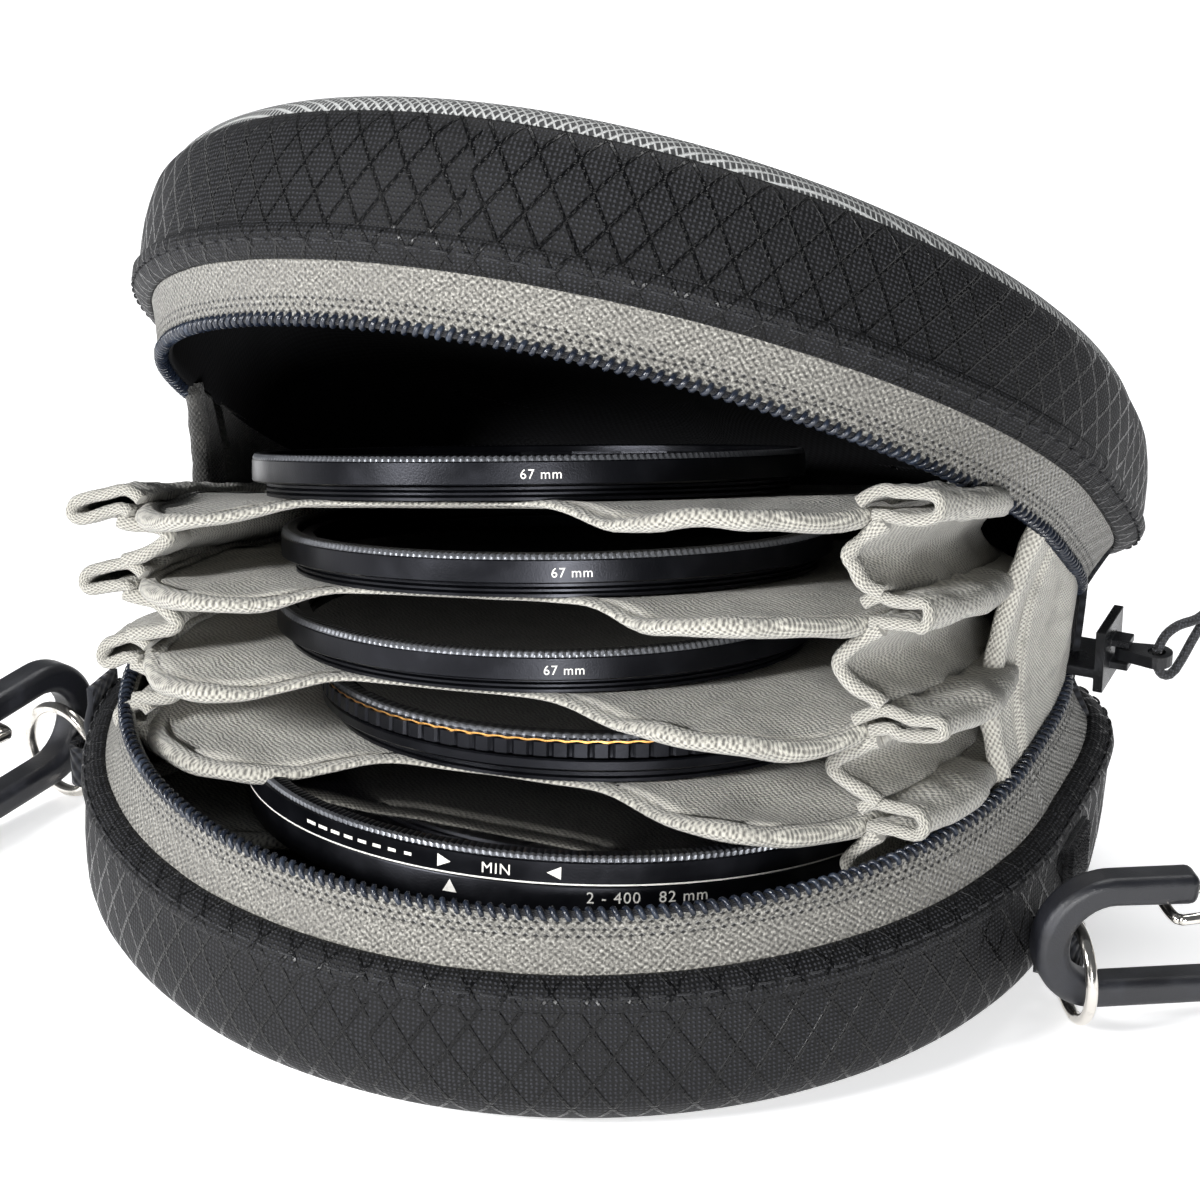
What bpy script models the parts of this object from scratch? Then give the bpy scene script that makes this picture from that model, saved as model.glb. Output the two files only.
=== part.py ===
"""Round zip case for lens filters, open, with its accordion insert, filters, pull cord and carabiners.

Metres, +Z up. The origin is on the underside, at the centre of the round front.
The case opens towards -Y and its lid turns about the spine at +Y.
Pieces are drawn where they lie in the closed case, and pivots then open them.
"""
import math

import bpy
import bmesh
from mathutils import Matrix, Vector

# Case outline
HALF_WIDTH = 0.065
FRONT_DEPTH = HALF_WIDTH  # the front is half a circle
BACK_DEPTH = 0.045
RIM_HEIGHT = 0.028
BAND_HEIGHT = 0.0178
HEM_HEIGHT = 0.0026
SEAM_INSET = 0.003
COIL_INSET = 0.0056
EDGE_FILLET = 0.006
BASE_PULL = 0.0048
LID_PULL = 0.006
LID_SLOPE = 0.0088
LID_SHOULDER = 0.003
SHOULDER_LENGTH = 0.025
SHOULDER_START = BACK_DEPTH - SHOULDER_LENGTH
LID_CROWN = 0.0012
RIM_EXPONENT = 4.5
FACE_EXPONENT = 2.7
TAPER_HEIGHT = 0.0158
OUTLINE_STEPS = 40

# Walls and gaps
BAND_WALL = 0.0018
PANEL_WALL = 0.0018
HEM_WALL = 0.0010
HEM_LOW_INSET = 0.0002
HEM_ROUND = 0.0004
TAPE_WALL = 0.0008
LINER_WALL = 0.0006
FOLD_WALL = 0.0006
GUSSET_WALL = 0.0008
GAP = 0.0003
WELD_DISTANCE = 0.00001
HOLE_SEGMENTS = 16

# Zip
COIL_RADIUS = 0.00085
COIL_OFFSET = 0.001
COIL_POINTS = 36
TAPE_END_SETBACK = 0.0225
TAPE_END_Y = BACK_DEPTH - TAPE_END_SETBACK
STRIP_SETBACK = 0.012
STRIP_START_Y = BACK_DEPTH - STRIP_SETBACK
STRIP_EDGE_GAP = 0.0002
TAPE_TOP_GAP = 0.0011
TAPE_FOOT_GAP = 0.0009
TAPE_LEAN = 0.0006

# Liner bowl
LINER_RIM_INSET = 0.0069
LINER_RIM_HEIGHT = 0.0256
LINER_DEPTH = 0.0024
LINER_FLOOR_INSET = 0.0090
PANEL_GAP = 0.0009

# Hinge and insert
HINGE_SETBACK = 0.004
HINGE_Y = BACK_DEPTH - HINGE_SETBACK
LID_OPEN = math.radians(37.0)
SPINE_SETBACK = 0.0087
SPINE_FRONT_Y = BACK_DEPTH - SPINE_SETBACK
SPINE_WALL = 0.0005
DIVIDER_WALL = 0.0008
DIVIDER_SIDE_GAP = 0.013
DIVIDER_HALF_WIDTH = HALF_WIDTH - DIVIDER_SIDE_GAP
DIVIDER_FRONT_GAP = 0.023
DIVIDER_FRONT_Y = DIVIDER_FRONT_GAP - FRONT_DEPTH
DIVIDER_BACK_GAP = 0.0016
DIVIDER_BACK_Y = SPINE_FRONT_Y - DIVIDER_BACK_GAP
DIVIDER_HEIGHTS = (0.0052, 0.0154, 0.0233, 0.0301, 0.0369)

# How far each sheet, from the lowest up, is turned and the line it turns on is swung in plan
DIVIDER_PIVOT_X = -0.016
DIVIDER_PIVOT_GAP = 0.0004
DIVIDER_PIVOT_Y = SPINE_FRONT_Y - DIVIDER_PIVOT_GAP
DIVIDER_TURNS = [math.radians(turn) for turn in (9.5, 11.0, 13.5, 18.0, 22.0)]
DIVIDER_LEANS = [math.radians(lean) for lean in (12.0, 18.0, 22.0, 24.0, 24.0)]
FOLD_INSET = 0.001
FOLD_GAP = 0.0007
FOLD_DEPTH = 0.006
FOLD_SHALLOW = 0.002
FOLD_BACK_GAP = 0.0056
FOLD_BACK_Y = DIVIDER_BACK_Y - FOLD_BACK_GAP
FOLD_FRONT_GAP = 0.0135
FOLD_FRONT_Y = DIVIDER_FRONT_Y + FOLD_FRONT_GAP
FOLD_STEPS = 8
GUSSET_INSET = 0.0083
GUSSET_FOOT_HEIGHT = 0.0250
GUSSET_BULGE = 0.0016
GUSSET_SETBACK = 0.016
GUSSET_BACK_Y = BACK_DEPTH - GUSSET_SETBACK
GUSSET_LENGTH = 0.034
GUSSET_FRONT_Y = GUSSET_BACK_Y - GUSSET_LENGTH
GUSSET_STEPS = 9
GUSSET_ROWS = 4

# Filters, outer radius of the ring and of the thread behind it
SMALL_RING_RADIUS = 0.0352
SMALL_THREAD_STEP = 0.0018
SMALL_BORE_WALL = 0.0021
SMALL_LEDGE_WALL = 0.0038
SMALL_THREAD_RADIUS = SMALL_RING_RADIUS - SMALL_THREAD_STEP
SMALL_BORE_RADIUS = SMALL_RING_RADIUS - SMALL_BORE_WALL
SMALL_CLEAR_RADIUS = SMALL_RING_RADIUS - SMALL_LEDGE_WALL
LARGE_RING_RADIUS = 0.0435
LARGE_REAR_STEP = 0.0005
LARGE_THREAD_STEP = 0.0026
LARGE_BORE_WALL = 0.0023
LARGE_LEDGE_WALL = 0.0047
LARGE_REAR_RADIUS = LARGE_RING_RADIUS - LARGE_REAR_STEP
LARGE_THREAD_RADIUS = LARGE_RING_RADIUS - LARGE_THREAD_STEP
LARGE_BORE_RADIUS = LARGE_RING_RADIUS - LARGE_BORE_WALL
LARGE_CLEAR_RADIUS = LARGE_RING_RADIUS - LARGE_LEDGE_WALL
THREAD_HEIGHT = 0.0018
LEDGE_HEIGHT = 0.0013
DIFFUSER_RING_HEIGHT = 0.0036
POLARISER_REAR_HEIGHT = 0.0014
POLARISER_FRONT_HEIGHT = 0.0030
FRONT_LEDGE_HEIGHT = 0.0007
DENSITY_THREAD_HEIGHT = 0.0012
DENSITY_REAR_HEIGHT = 0.0036
DENSITY_FRONT_HEIGHT = 0.0037
GLASS_GAP = 0.0004
GLASS_WALL = 0.0016
RETAINER_HEIGHT = 0.0010
RETAINER_WIDTH = 0.0015
RING_BEVEL = 0.0002
RING_STEPS = 28

# Slider, tab and cord
SLIDER_PARK_GAP = 0.0055
SLIDER_Y = TAPE_END_Y + SLIDER_PARK_GAP
SLIDER_LENGTH = 0.009
SLIDER_OUTER_INSETS = (0.0034, 0.0021)
SLIDER_OUTER_X = [HALF_WIDTH - inset for inset in SLIDER_OUTER_INSETS]
SLIDER_OUTER_Z = (0.0264, 0.0350)
SLIDER_INNER_INSETS = (0.0090, 0.0079)
SLIDER_INNER_X = [HALF_WIDTH - inset for inset in SLIDER_INNER_INSETS]
SLIDER_INNER_Z = (0.0263, 0.0298)
SLIDER_POST_Z = (0.0283, 0.0296)
SLIDER_BEVEL = 0.0004
LUG_LENGTH = 0.0028
LUG_WALL = 0.0010
TAB_WALL = 0.0016
TAB_INNER_RADIUS = 0.0013
TAB_OUTER_RADIUS = 0.0021
TAB_EYE_RADIUS = 0.0012
TAB_LENGTH = 0.0042
CORD_RADIUS = 0.00065
CORD_SPACING = 0.0015
CORD_LENGTH = 0.044
CORD_SAG = 0.004
CORD_LOOP = 0.0032
CORD_NECK = 0.007
CORD_HEADING = Vector((0.60, 0.60, 0.53)).normalized()
GRIP_RADIUS = 0.0028
GRIP_LENGTH = 0.014
GRIP_BORE_DEPTH = 0.009
GRIP_BORE_RADIUS = 0.0017

# Carrying hardware
TAB_LOOP_REACH = 0.0053
TAB_LOOP_X = (HALF_WIDTH, HALF_WIDTH + TAB_LOOP_REACH)
TAB_LOOP_DEPTH = 0.0053
TAB_LOOP_Y = {"right": -0.0090, "left": -0.0120}
TAB_LOOP_HEIGHT = 0.006
TAB_LOOP_WALL = 0.0010
RING_RADIUS = 0.0062
RING_WIRE_RADIUS = 0.0008
RING_PIN_REACH = 0.00215
RING_PIN_X = HALF_WIDTH + RING_PIN_REACH
RING_PIN_SHIFT = {"right": 0.0005, "left": -0.0002}
RING_HEIGHT = 0.0075
RING_HEADING = {"right": math.radians(-55.2), "left": math.radians(165.0)}
RING_POINTS = 24
CARABINER_WALL = 0.0046
CARABINER_BEVEL = 0.0006
CARABINER_LENGTH = 0.058
CARABINER_END_RADIUS = 0.009
CARABINER_HOLE_RADIUS = 0.0052
CARABINER_HOLE_U = 0.0095
CARABINER_ARM = 0.004
CARABINER_NOSE_U = 0.020
CARABINER_JAW_SPAN = 0.016
CARABINER_JAW_U = CARABINER_LENGTH - CARABINER_JAW_SPAN
CARABINER_BAR_U = 0.0065
CARABINER_BAR_V = -0.00645
CARABINER_BAR_DROP = 0.0016
CARABINER_BAR_SHIFT = 0.0010
CARABINER_TILT = math.radians(4.3)
GATE_WIRE_RADIUS = 0.0007
GATE_PIVOT_SPAN = 0.0115
GATE_PIVOT_U = CARABINER_LENGTH - GATE_PIVOT_SPAN
GATE_PIVOT_V = 0.0070
GATE_TIP_U = 0.0168
GATE_TIP_V = 0.0038
GATE_HOLE_RADIUS = 0.0011
GATE_HOLE_DEPTH = 0.0012

# Hook-and-loop patch beside the right carabiner
PATCH_Y = (-0.001, 0.007)
PATCH_Z = (0.0100, 0.0170)
PATCH_WALL = 0.0008

# Plan outline of a divider's right side from back to front, as shares of its half width and length
DIVIDER_OUTLINE_SHARES = (
    (0.577, 0.0),
    (0.692, 0.021),
    (0.846, 0.066),
    (0.962, 0.227),
    (1.0, 0.459),
    (1.0, 0.665),
    (0.942, 0.832),
    (0.788, 0.942),
    (0.423, 0.987),
    (0.0, 1.0),
)
DIVIDER_OUTLINE = [
    (across * DIVIDER_HALF_WIDTH, DIVIDER_BACK_Y + along * (DIVIDER_FRONT_Y - DIVIDER_BACK_Y))
    for across, along in DIVIDER_OUTLINE_SHARES
]

# Outline of the back strip's right side, from foot to top
SPINE_OUTLINE = [
    (0.028, 0.0062),
    (0.034, 0.0120),
    (0.034, 0.0200),
    (0.029, 0.0248),
    (0.029, 0.0372),
]

# Where each filter lies on its sheet: how far off the middle, and its gap to the sheet's back edge
FILTER_SPOTS = {
    "diffuser_1": (-0.006, 0.0030),
    "diffuser_2": (-0.002, 0.0033),
    "diffuser_3": (-0.004, 0.0015),
    "polariser": (0.002, 0.0013),
    "density": (0.004, 0.0014),
}

COLLECTION_NAME = "lens_filter_case"


def clear_scene():
    for item in list(bpy.data.objects):
        bpy.data.objects.remove(item, do_unlink=True)


def make_collection(name):
    group = bpy.data.collections.new(name)
    bpy.context.scene.collection.children.link(group)
    return group


clear_scene()
PARTS = make_collection(COLLECTION_NAME)
CUTTERS = make_collection(COLLECTION_NAME + "_cutters")


def material(name, colour, roughness, metallic=0.0):
    found = bpy.data.materials.get(name)
    if found:
        return found
    made = bpy.data.materials.new(name)
    made.use_nodes = True
    shader = made.node_tree.nodes["Principled BSDF"]
    shader.inputs["Base Color"].default_value = (*colour, 1.0)
    shader.inputs["Roughness"].default_value = roughness
    shader.inputs["Metallic"].default_value = metallic
    return made


def ripstop():
    return material("ripstop", (0.035, 0.036, 0.042), 0.55)


def hem_fabric():
    return material("hem_fabric", (0.03, 0.03, 0.036), 0.6)


def air_mesh():
    return material("air_mesh", (0.30, 0.31, 0.31), 0.8)


def zip_tape():
    return material("zip_tape", (0.24, 0.235, 0.225), 0.75)


def zip_coil():
    return material("zip_coil", (0.015, 0.018, 0.03), 0.3)


def grey_canvas():
    return material("grey_canvas", (0.36, 0.355, 0.335), 0.9)


def black_lining():
    return material("black_lining", (0.012, 0.012, 0.014), 0.85)


def black_webbing():
    return material("black_webbing", (0.014, 0.014, 0.016), 0.7)


def anodised_black():
    return material("anodised_black", (0.018, 0.018, 0.022), 0.35, 0.6)


def smoked_glass():
    return material("smoked_glass", (0.02, 0.02, 0.024), 0.08)


def moulded_black():
    return material("moulded_black", (0.025, 0.025, 0.032), 0.45)


def polished_steel():
    return material("polished_steel", (0.72, 0.71, 0.69), 0.12, 1.0)


class Pivot:
    """A joint: where it lies in the closed case, its turn at rest, and the empty that carries its pieces."""

    def __init__(self, name, origin, parent=None, turn=Matrix.Identity(4)):
        self.origin = Vector(origin)
        offset = self.origin - (parent.origin if parent else Vector())
        self.world = (parent.world if parent else Matrix.Identity(4)) @ Matrix.Translation(offset) @ turn
        self.empty = bpy.data.objects.new(name, None)
        PARTS.objects.link(self.empty)
        if parent:
            self.empty.parent = parent.empty
        self.empty.matrix_basis = Matrix.Translation(offset) @ turn

    def place(self, point):
        """World position at rest of a point that is given where it lies in the closed case."""
        return self.world @ (Vector(point) - self.origin)


def add_object(name, data, finish, pivot=None, origin=(0.0, 0.0, 0.0), turn=Matrix.Identity(4)):
    """Link data, whose own zero is at origin in the closed case, under a pivot."""
    item = bpy.data.objects.new(name, data)
    PARTS.objects.link(item)
    data.materials.append(finish)
    if pivot:
        item.parent = pivot.empty
        item.matrix_basis = Matrix.Translation(Vector(origin) - pivot.origin) @ turn
    else:
        item.matrix_basis = Matrix.Translation(Vector(origin)) @ turn
    return item


def solidify(item, wall, offset=-1.0):
    shell = item.modifiers.new("wall", "SOLIDIFY")
    shell.thickness = wall
    shell.offset = offset
    shell.use_even_offset = True
    return item


def bevel(item, width, angle=math.radians(40.0)):
    edge = item.modifiers.new("edge", "BEVEL")
    edge.width = width
    edge.segments = 1
    edge.limit_method = "ANGLE"
    edge.angle_limit = angle
    return item


def finish_mesh(work, name):
    mesh = bpy.data.meshes.new(name)
    work.to_mesh(mesh)
    work.free()
    mesh.shade_smooth()
    return mesh


def loft_grid(work, rows, closed):
    """Faces through rows of points, each row running the same way."""
    grid = [[work.verts.new(point) for point in row] for row in rows]
    for low, high in zip(grid, grid[1:]):
        count = len(low)
        for index in range(count if closed else count - 1):
            after = (index + 1) % count
            work.faces.new((low[index], low[after], high[after], high[index]))
    return grid


def loft_mesh(name, rows, closed):
    work = bmesh.new()
    loft_grid(work, rows, closed)
    return finish_mesh(work, name)


def sunk_rows(rows, depth):
    """The rows of a closed wall, moved by depth against its normals."""
    work = bmesh.new()
    grid = loft_grid(work, rows, True)
    work.normal_update()
    sunk = [[vert.co - vert.normal * depth for vert in row] for row in grid]
    work.free()
    return sunk


def disc_mesh(name, rows, centre):
    """Rows of points from the edge inwards, closed by a fan at the centre."""
    work = bmesh.new()
    grid = [[work.verts.new(point) for point in row] for row in rows]
    for outer, inner in zip(grid, grid[1:]):
        count = len(outer)
        for index in range(count):
            after = (index + 1) % count
            work.faces.new((outer[index], inner[index], inner[after], outer[after]))
    hub = work.verts.new(centre)
    last = grid[-1]
    for index in range(len(last)):
        work.faces.new((last[index], hub, last[(index + 1) % len(last)]))
    return finish_mesh(work, name)


def outline_curve(name, points, thickness, holes=()):
    """A flat outline, with any holes, thickened evenly about its own plane."""
    data = bpy.data.curves.new(name, "CURVE")
    data.dimensions = "2D"
    data.fill_mode = "BOTH"
    data.extrude = 0.5 * thickness
    for loop in (points, *holes):
        line = data.splines.new("POLY")
        line.points.add(len(loop) - 1)
        line.use_cyclic_u = True
        for slot, (x, y) in zip(line.points, loop):
            slot.co = (x, y, 0.0, 1.0)
    return data


def curve_object(name, points, radius, finish, pivot=None, origin=(0.0, 0.0, 0.0), closed=False):
    """A round tube through the points, which are given where they lie in the closed case."""
    data = bpy.data.curves.new(name, "CURVE")
    data.dimensions = "3D"
    data.bevel_depth = radius
    data.bevel_resolution = 2
    data.use_fill_caps = True
    line = data.splines.new("POLY")
    line.points.add(len(points) - 1)
    line.use_cyclic_u = closed
    for slot, point in zip(line.points, points):
        slot.co = (*(Vector(point) - Vector(origin)), 1.0)
    return add_object(name, data, finish, pivot, origin)


def arc_points(centre, radius, start, end, steps):
    """Points on an arc in a plane, from start to end in degrees."""
    points = []
    for step in range(steps + 1):
        turn = math.radians(start + (end - start) * step / steps)
        points.append((centre[0] + radius * math.cos(turn), centre[1] + radius * math.sin(turn)))
    return points


def to_mesh(item):
    """Replace a curve object by the mesh that it makes, so that it can be cut."""
    bpy.context.view_layer.update()
    mesh = bpy.data.meshes.new_from_object(item)
    work = bmesh.new()
    work.from_mesh(mesh)
    bmesh.ops.remove_doubles(work, verts=work.verts, dist=WELD_DISTANCE)
    work.to_mesh(mesh)
    work.free()
    name = item.name
    made = bpy.data.objects.new(name, mesh)
    PARTS.objects.link(made)
    made.parent = item.parent
    made.matrix_basis = item.matrix_basis.copy()
    bpy.data.objects.remove(item, do_unlink=True)
    made.name = name
    return made


def cut(item, cutter, operation="DIFFERENCE"):
    """Cut, or join, with a hidden shape that stands in the item's own frame."""
    CUTTERS.objects.link(cutter)
    cutter.parent = item.parent
    cutter.matrix_basis = item.matrix_basis @ cutter.matrix_basis
    cutter.hide_render = True
    cutter.display_type = "WIRE"
    tool = item.modifiers.new(operation.lower(), "BOOLEAN")
    tool.operation = operation
    tool.solver = "EXACT"
    tool.object = cutter
    return item


def box_object(name, low, high):
    work = bmesh.new()
    bmesh.ops.create_cube(work, size=1.0)
    low = Vector(low)
    high = Vector(high)
    bmesh.ops.scale(work, vec=high - low, verts=work.verts)
    bmesh.ops.translate(work, vec=0.5 * (low + high), verts=work.verts)
    mesh = bpy.data.meshes.new(name)
    work.to_mesh(mesh)
    work.free()
    return bpy.data.objects.new(name, mesh)


def cylinder_mesh(name, radius, low, high, centre, segments):
    """A cylinder along its own Z, from low to high."""
    work = bmesh.new()
    bmesh.ops.create_cone(
        work, cap_ends=True, segments=segments, radius1=radius, radius2=radius, depth=high - low
    )
    bmesh.ops.translate(work, vec=(centre[0], centre[1], 0.5 * (low + high)), verts=work.verts)
    mesh = bpy.data.meshes.new(name)
    work.to_mesh(mesh)
    work.free()
    return mesh


def turned(name, profile, finish, pivot, origin, steps=RING_STEPS, loop=True):
    """A ring or knob whose profile is spun about its own Z."""
    work = bmesh.new()
    points = [work.verts.new((radius, 0.0, height)) for radius, height in profile]
    count = len(points)
    for index in range(count if loop else count - 1):
        work.edges.new((points[index], points[(index + 1) % count]))
    item = add_object(name, finish_mesh(work, name), finish, pivot, origin)
    spin = item.modifiers.new("spin", "SCREW")
    spin.steps = steps
    spin.render_steps = steps
    spin.use_merge_vertices = True
    spin.merge_threshold = WELD_DISTANCE
    return item


def exponent(level):
    return RIM_EXPONENT + (FACE_EXPONENT - RIM_EXPONENT) * level


def outline_point(angle, inset, level, pull):
    """A point of the case's plan outline. Level is 0 at the rim and 1 at the outer face."""
    across = math.cos(angle)
    along = math.sin(angle)
    behind = along > 0.0
    power = exponent(level) if behind else 2.0
    depth = BACK_DEPTH - pull * level if behind else FRONT_DEPTH
    x = (HALF_WIDTH - inset) * math.copysign(abs(across) ** (2.0 / power), across)
    y = (depth - inset) * math.copysign(abs(along) ** (2.0 / power), along)
    return x, y


def outline_angles():
    return [2.0 * math.pi * step / OUTLINE_STEPS for step in range(OUTLINE_STEPS)]


def angle_at(y, inset, level, pull):
    """The angle on the right side at which the outline reaches y."""
    if y < 0.0:
        return math.asin(y / (FRONT_DEPTH - inset))
    share = y / (BACK_DEPTH - pull * level - inset)
    return math.asin(share ** (exponent(level) / 2.0))


def level_at(height):
    """0 on the upright part of the wall, 1 at the face that the height is measured from."""
    return max(0.0, 1.0 - height / TAPER_HEIGHT)


class Half:
    """The base, or the lid drawn closed above it as the base's mirror image with a sloping top."""

    def __init__(self, name, pivot, is_lid):
        self.name = name
        self.pivot = pivot
        self.is_lid = is_lid
        self.pull = LID_PULL if is_lid else BASE_PULL
        self.origin = pivot.origin if pivot else Vector()

    def drop(self, y, level):
        if not self.is_lid:
            return 0.0
        back = min(1.0, max(0.0, (y + FRONT_DEPTH) / (BACK_DEPTH + FRONT_DEPTH)))
        shoulder = max(0.0, (y - SHOULDER_START) / (BACK_DEPTH - SHOULDER_START))
        return (LID_SLOPE * back + LID_SHOULDER * shoulder * shoulder) * level

    def lift(self, x, y, height):
        """A point at a height that is measured from this half's own outer face."""
        level = level_at(height)
        if self.is_lid:
            return Vector((x, y, 2.0 * RIM_HEIGHT - height - self.drop(y, level)))
        return Vector((x, y, height))

    def point(self, angle, inset, height):
        x, y = outline_point(angle, inset, level_at(height), self.pull)
        return self.lift(x, y, height)

    def row(self, inset, height):
        return [self.point(angle, inset, height) for angle in outline_angles()]

    def face_row(self, inset, depth):
        """Points at an even depth inside the outer face."""
        row = []
        for angle in outline_angles():
            x, y = outline_point(angle, inset, 1.0, self.pull)
            row.append(self.face_point(x, y, depth))
        return row

    def face_point(self, x, y, depth):
        inward = -depth if self.is_lid else depth
        return self.lift(x, y, 0.0) + Vector((0.0, 0.0, inward))

    def arc_row(self, inset, height, end_y, count, front=True):
        """The part of the outline in front of end_y, or behind it, starting on the right."""
        start = angle_at(end_y, inset, level_at(height), self.pull)
        span = -(math.pi + 2.0 * start) if front else math.pi - 2.0 * start
        return [self.point(start + span * step / (count - 1), inset, height) for step in range(count)]

    def local(self, rows):
        return [[point - self.origin for point in row] for row in rows]

    def add_shell(self, piece, rows, finish, wall, closed=True, flip=False):
        """Rows run from the outer face to the rim. The lid's surface is turned over."""
        if self.is_lid != flip:
            rows = rows[::-1]
        name = self.name + "_" + piece
        mesh = loft_mesh(name, self.local(rows), closed)
        return solidify(add_object(name, mesh, finish, self.pivot, self.origin), wall)

    def add_bowl(self, piece, rows, centre, finish, wall):
        """Rows run from the edge to the middle and are closed there."""
        rows = self.local(rows)
        if self.is_lid:
            rows = [row[::-1] for row in rows]
        name = self.name + "_" + piece
        mesh = disc_mesh(name, rows, centre - self.origin)
        return solidify(add_object(name, mesh, finish, self.pivot, self.origin), wall)


def wall_rows(half):
    """The side wall's outside, rounded into the face at its edge, up to the upright part."""
    steps = 3
    profile = []
    for step in range(steps + 1):
        turn = 0.5 * math.pi * step / steps
        profile.append((EDGE_FILLET * (1.0 - math.sin(turn)), EDGE_FILLET * (1.0 - math.cos(turn))))
    profile.append((0.0, TAPER_HEIGHT))
    return [half.row(inset, height) for inset, height in profile]


def add_band(half):
    rows = wall_rows(half) + [half.row(0.0, BAND_HEIGHT)]
    half.add_shell("band", rows, ripstop(), BAND_WALL)


def add_hem(half):
    """The folded edge where the side wall is sewn to the zip's tape."""
    low = BAND_HEIGHT + GAP
    high = BAND_HEIGHT + HEM_HEIGHT
    profile = [
        (HEM_LOW_INSET, low),
        (HEM_LOW_INSET, low + HEM_WALL),
        (SEAM_INSET - HEM_ROUND, high),
    ]
    rows = [half.row(inset, height) for inset, height in profile]
    half.add_shell("hem", rows, hem_fabric(), HEM_WALL)


def tape_profile():
    low = BAND_HEIGHT + HEM_HEIGHT + TAPE_FOOT_GAP
    high = RIM_HEIGHT - TAPE_TOP_GAP
    inner = COIL_INSET - GAP
    middle = 0.5 * (SEAM_INSET + inner)
    return [
        (SEAM_INSET, low),
        (middle - GAP, 0.5 * (low + high)),
        (inner - TAPE_LEAN, high - TAPE_LEAN),
    ]


def add_tape(half):
    rows = [half.arc_row(inset, height, TAPE_END_Y, OUTLINE_STEPS) for inset, height in tape_profile()]
    half.add_shell("zip_tape", rows, zip_tape(), TAPE_WALL, closed=False, flip=True)


def add_hinge_strip(half):
    """The fabric that closes the back, where there is no zip."""
    count = OUTLINE_STEPS // 4
    profile = tape_profile()
    profile.append((profile[-1][0], RIM_HEIGHT - STRIP_EDGE_GAP))
    rows = [half.arc_row(inset, height, STRIP_START_Y, count, front=False) for inset, height in profile]
    half.add_shell("hinge_strip", rows, hem_fabric(), TAPE_WALL, closed=False)


def add_coil(half):
    """The zip's coil, along the edge of its tape."""
    points = half.arc_row(COIL_INSET, RIM_HEIGHT - COIL_OFFSET, TAPE_END_Y, COIL_POINTS)
    curve_object(half.name + "_zip_coil", points, COIL_RADIUS, zip_coil(), half.pivot, half.origin)


def middle_y():
    return 0.5 * (BACK_DEPTH - FRONT_DEPTH)


def add_panel(half):
    """The padded outer face: flat under the base, crowned and sloping on the lid."""
    first = EDGE_FILLET + PANEL_GAP
    ring_shares = (0.0, 0.4) if half.is_lid else (0.0,)
    crown_shares = (0.0, 0.75)
    crown = LID_CROWN if half.is_lid else 0.0
    rows = []
    for ring_share, crown_share in zip(ring_shares, crown_shares):
        rows.append(half.face_row(first + ring_share * FRONT_DEPTH, -crown * crown_share))
    centre = half.face_point(0.0, middle_y(), -crown)
    half.add_bowl("panel", rows, centre, air_mesh(), PANEL_WALL)


def add_liner(half, finish):
    """The cloth tray inside a half, hung from below its rim and set inside the wall all round."""
    outside = [half.face_row(LINER_FLOOR_INSET, 0.0)] + wall_rows(half) + [half.row(0.0, BAND_HEIGHT)]
    floor, _, foot, _, side, upright, _ = sunk_rows(outside, -LINER_DEPTH if half.is_lid else LINER_DEPTH)
    rows = [half.row(LINER_RIM_INSET, LINER_RIM_HEIGHT), upright, side, foot, floor]
    centre = half.face_point(0.0, middle_y(), LINER_DEPTH)
    half.add_bowl("liner", rows, centre, finish, LINER_WALL)


lid_pivot = Pivot("lid_pivot", (0.0, HINGE_Y, RIM_HEIGHT), turn=Matrix.Rotation(-LID_OPEN, 4, "X"))
base = Half("base", None, False)
lid = Half("lid", lid_pivot, True)
for case_half in (base, lid):
    add_panel(case_half)
    add_band(case_half)
    add_hem(case_half)
    add_tape(case_half)
    add_coil(case_half)
    add_hinge_strip(case_half)
add_liner(base, grey_canvas())
add_liner(lid, black_lining())


# Accordion insert
def mirrored(points):
    """Points on the right side, and the same ones back along the left."""
    return points + [(-x, y) for x, y in reversed(points) if x > 0.0]


def add_spine():
    """The stiff strip that the insert is folded on, at the back of the tray."""
    data = outline_curve("accordion_spine", mirrored(SPINE_OUTLINE), SPINE_WALL)
    turn = Matrix.Rotation(0.5 * math.pi, 4, "X")
    origin = (0.0, SPINE_FRONT_Y + 0.5 * SPINE_WALL, 0.0)
    add_object("accordion_spine", data, grey_canvas(), None, origin, turn)


def add_divider(number, pivot):
    """A stiffened cloth sheet with a pocket above it."""
    name = "divider_" + str(number)
    data = outline_curve(name, mirrored(DIVIDER_OUTLINE), DIVIDER_WALL)
    origin = (0.0, 0.0, pivot.origin.z + 0.5 * DIVIDER_WALL)
    add_object(name, data, grey_canvas(), pivot, origin)


def side_x(y):
    """Half width of a divider at y."""
    spots = [spot for spot in DIVIDER_OUTLINE if spot[0] > 0.0]
    for (x0, y0), (x1, y1) in zip(spots, spots[1:]):
        if y1 <= y <= y0:
            share = (y - y0) / (y1 - y0)
            return x0 + (x1 - x0) * share
    return spots[-1][0]


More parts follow.
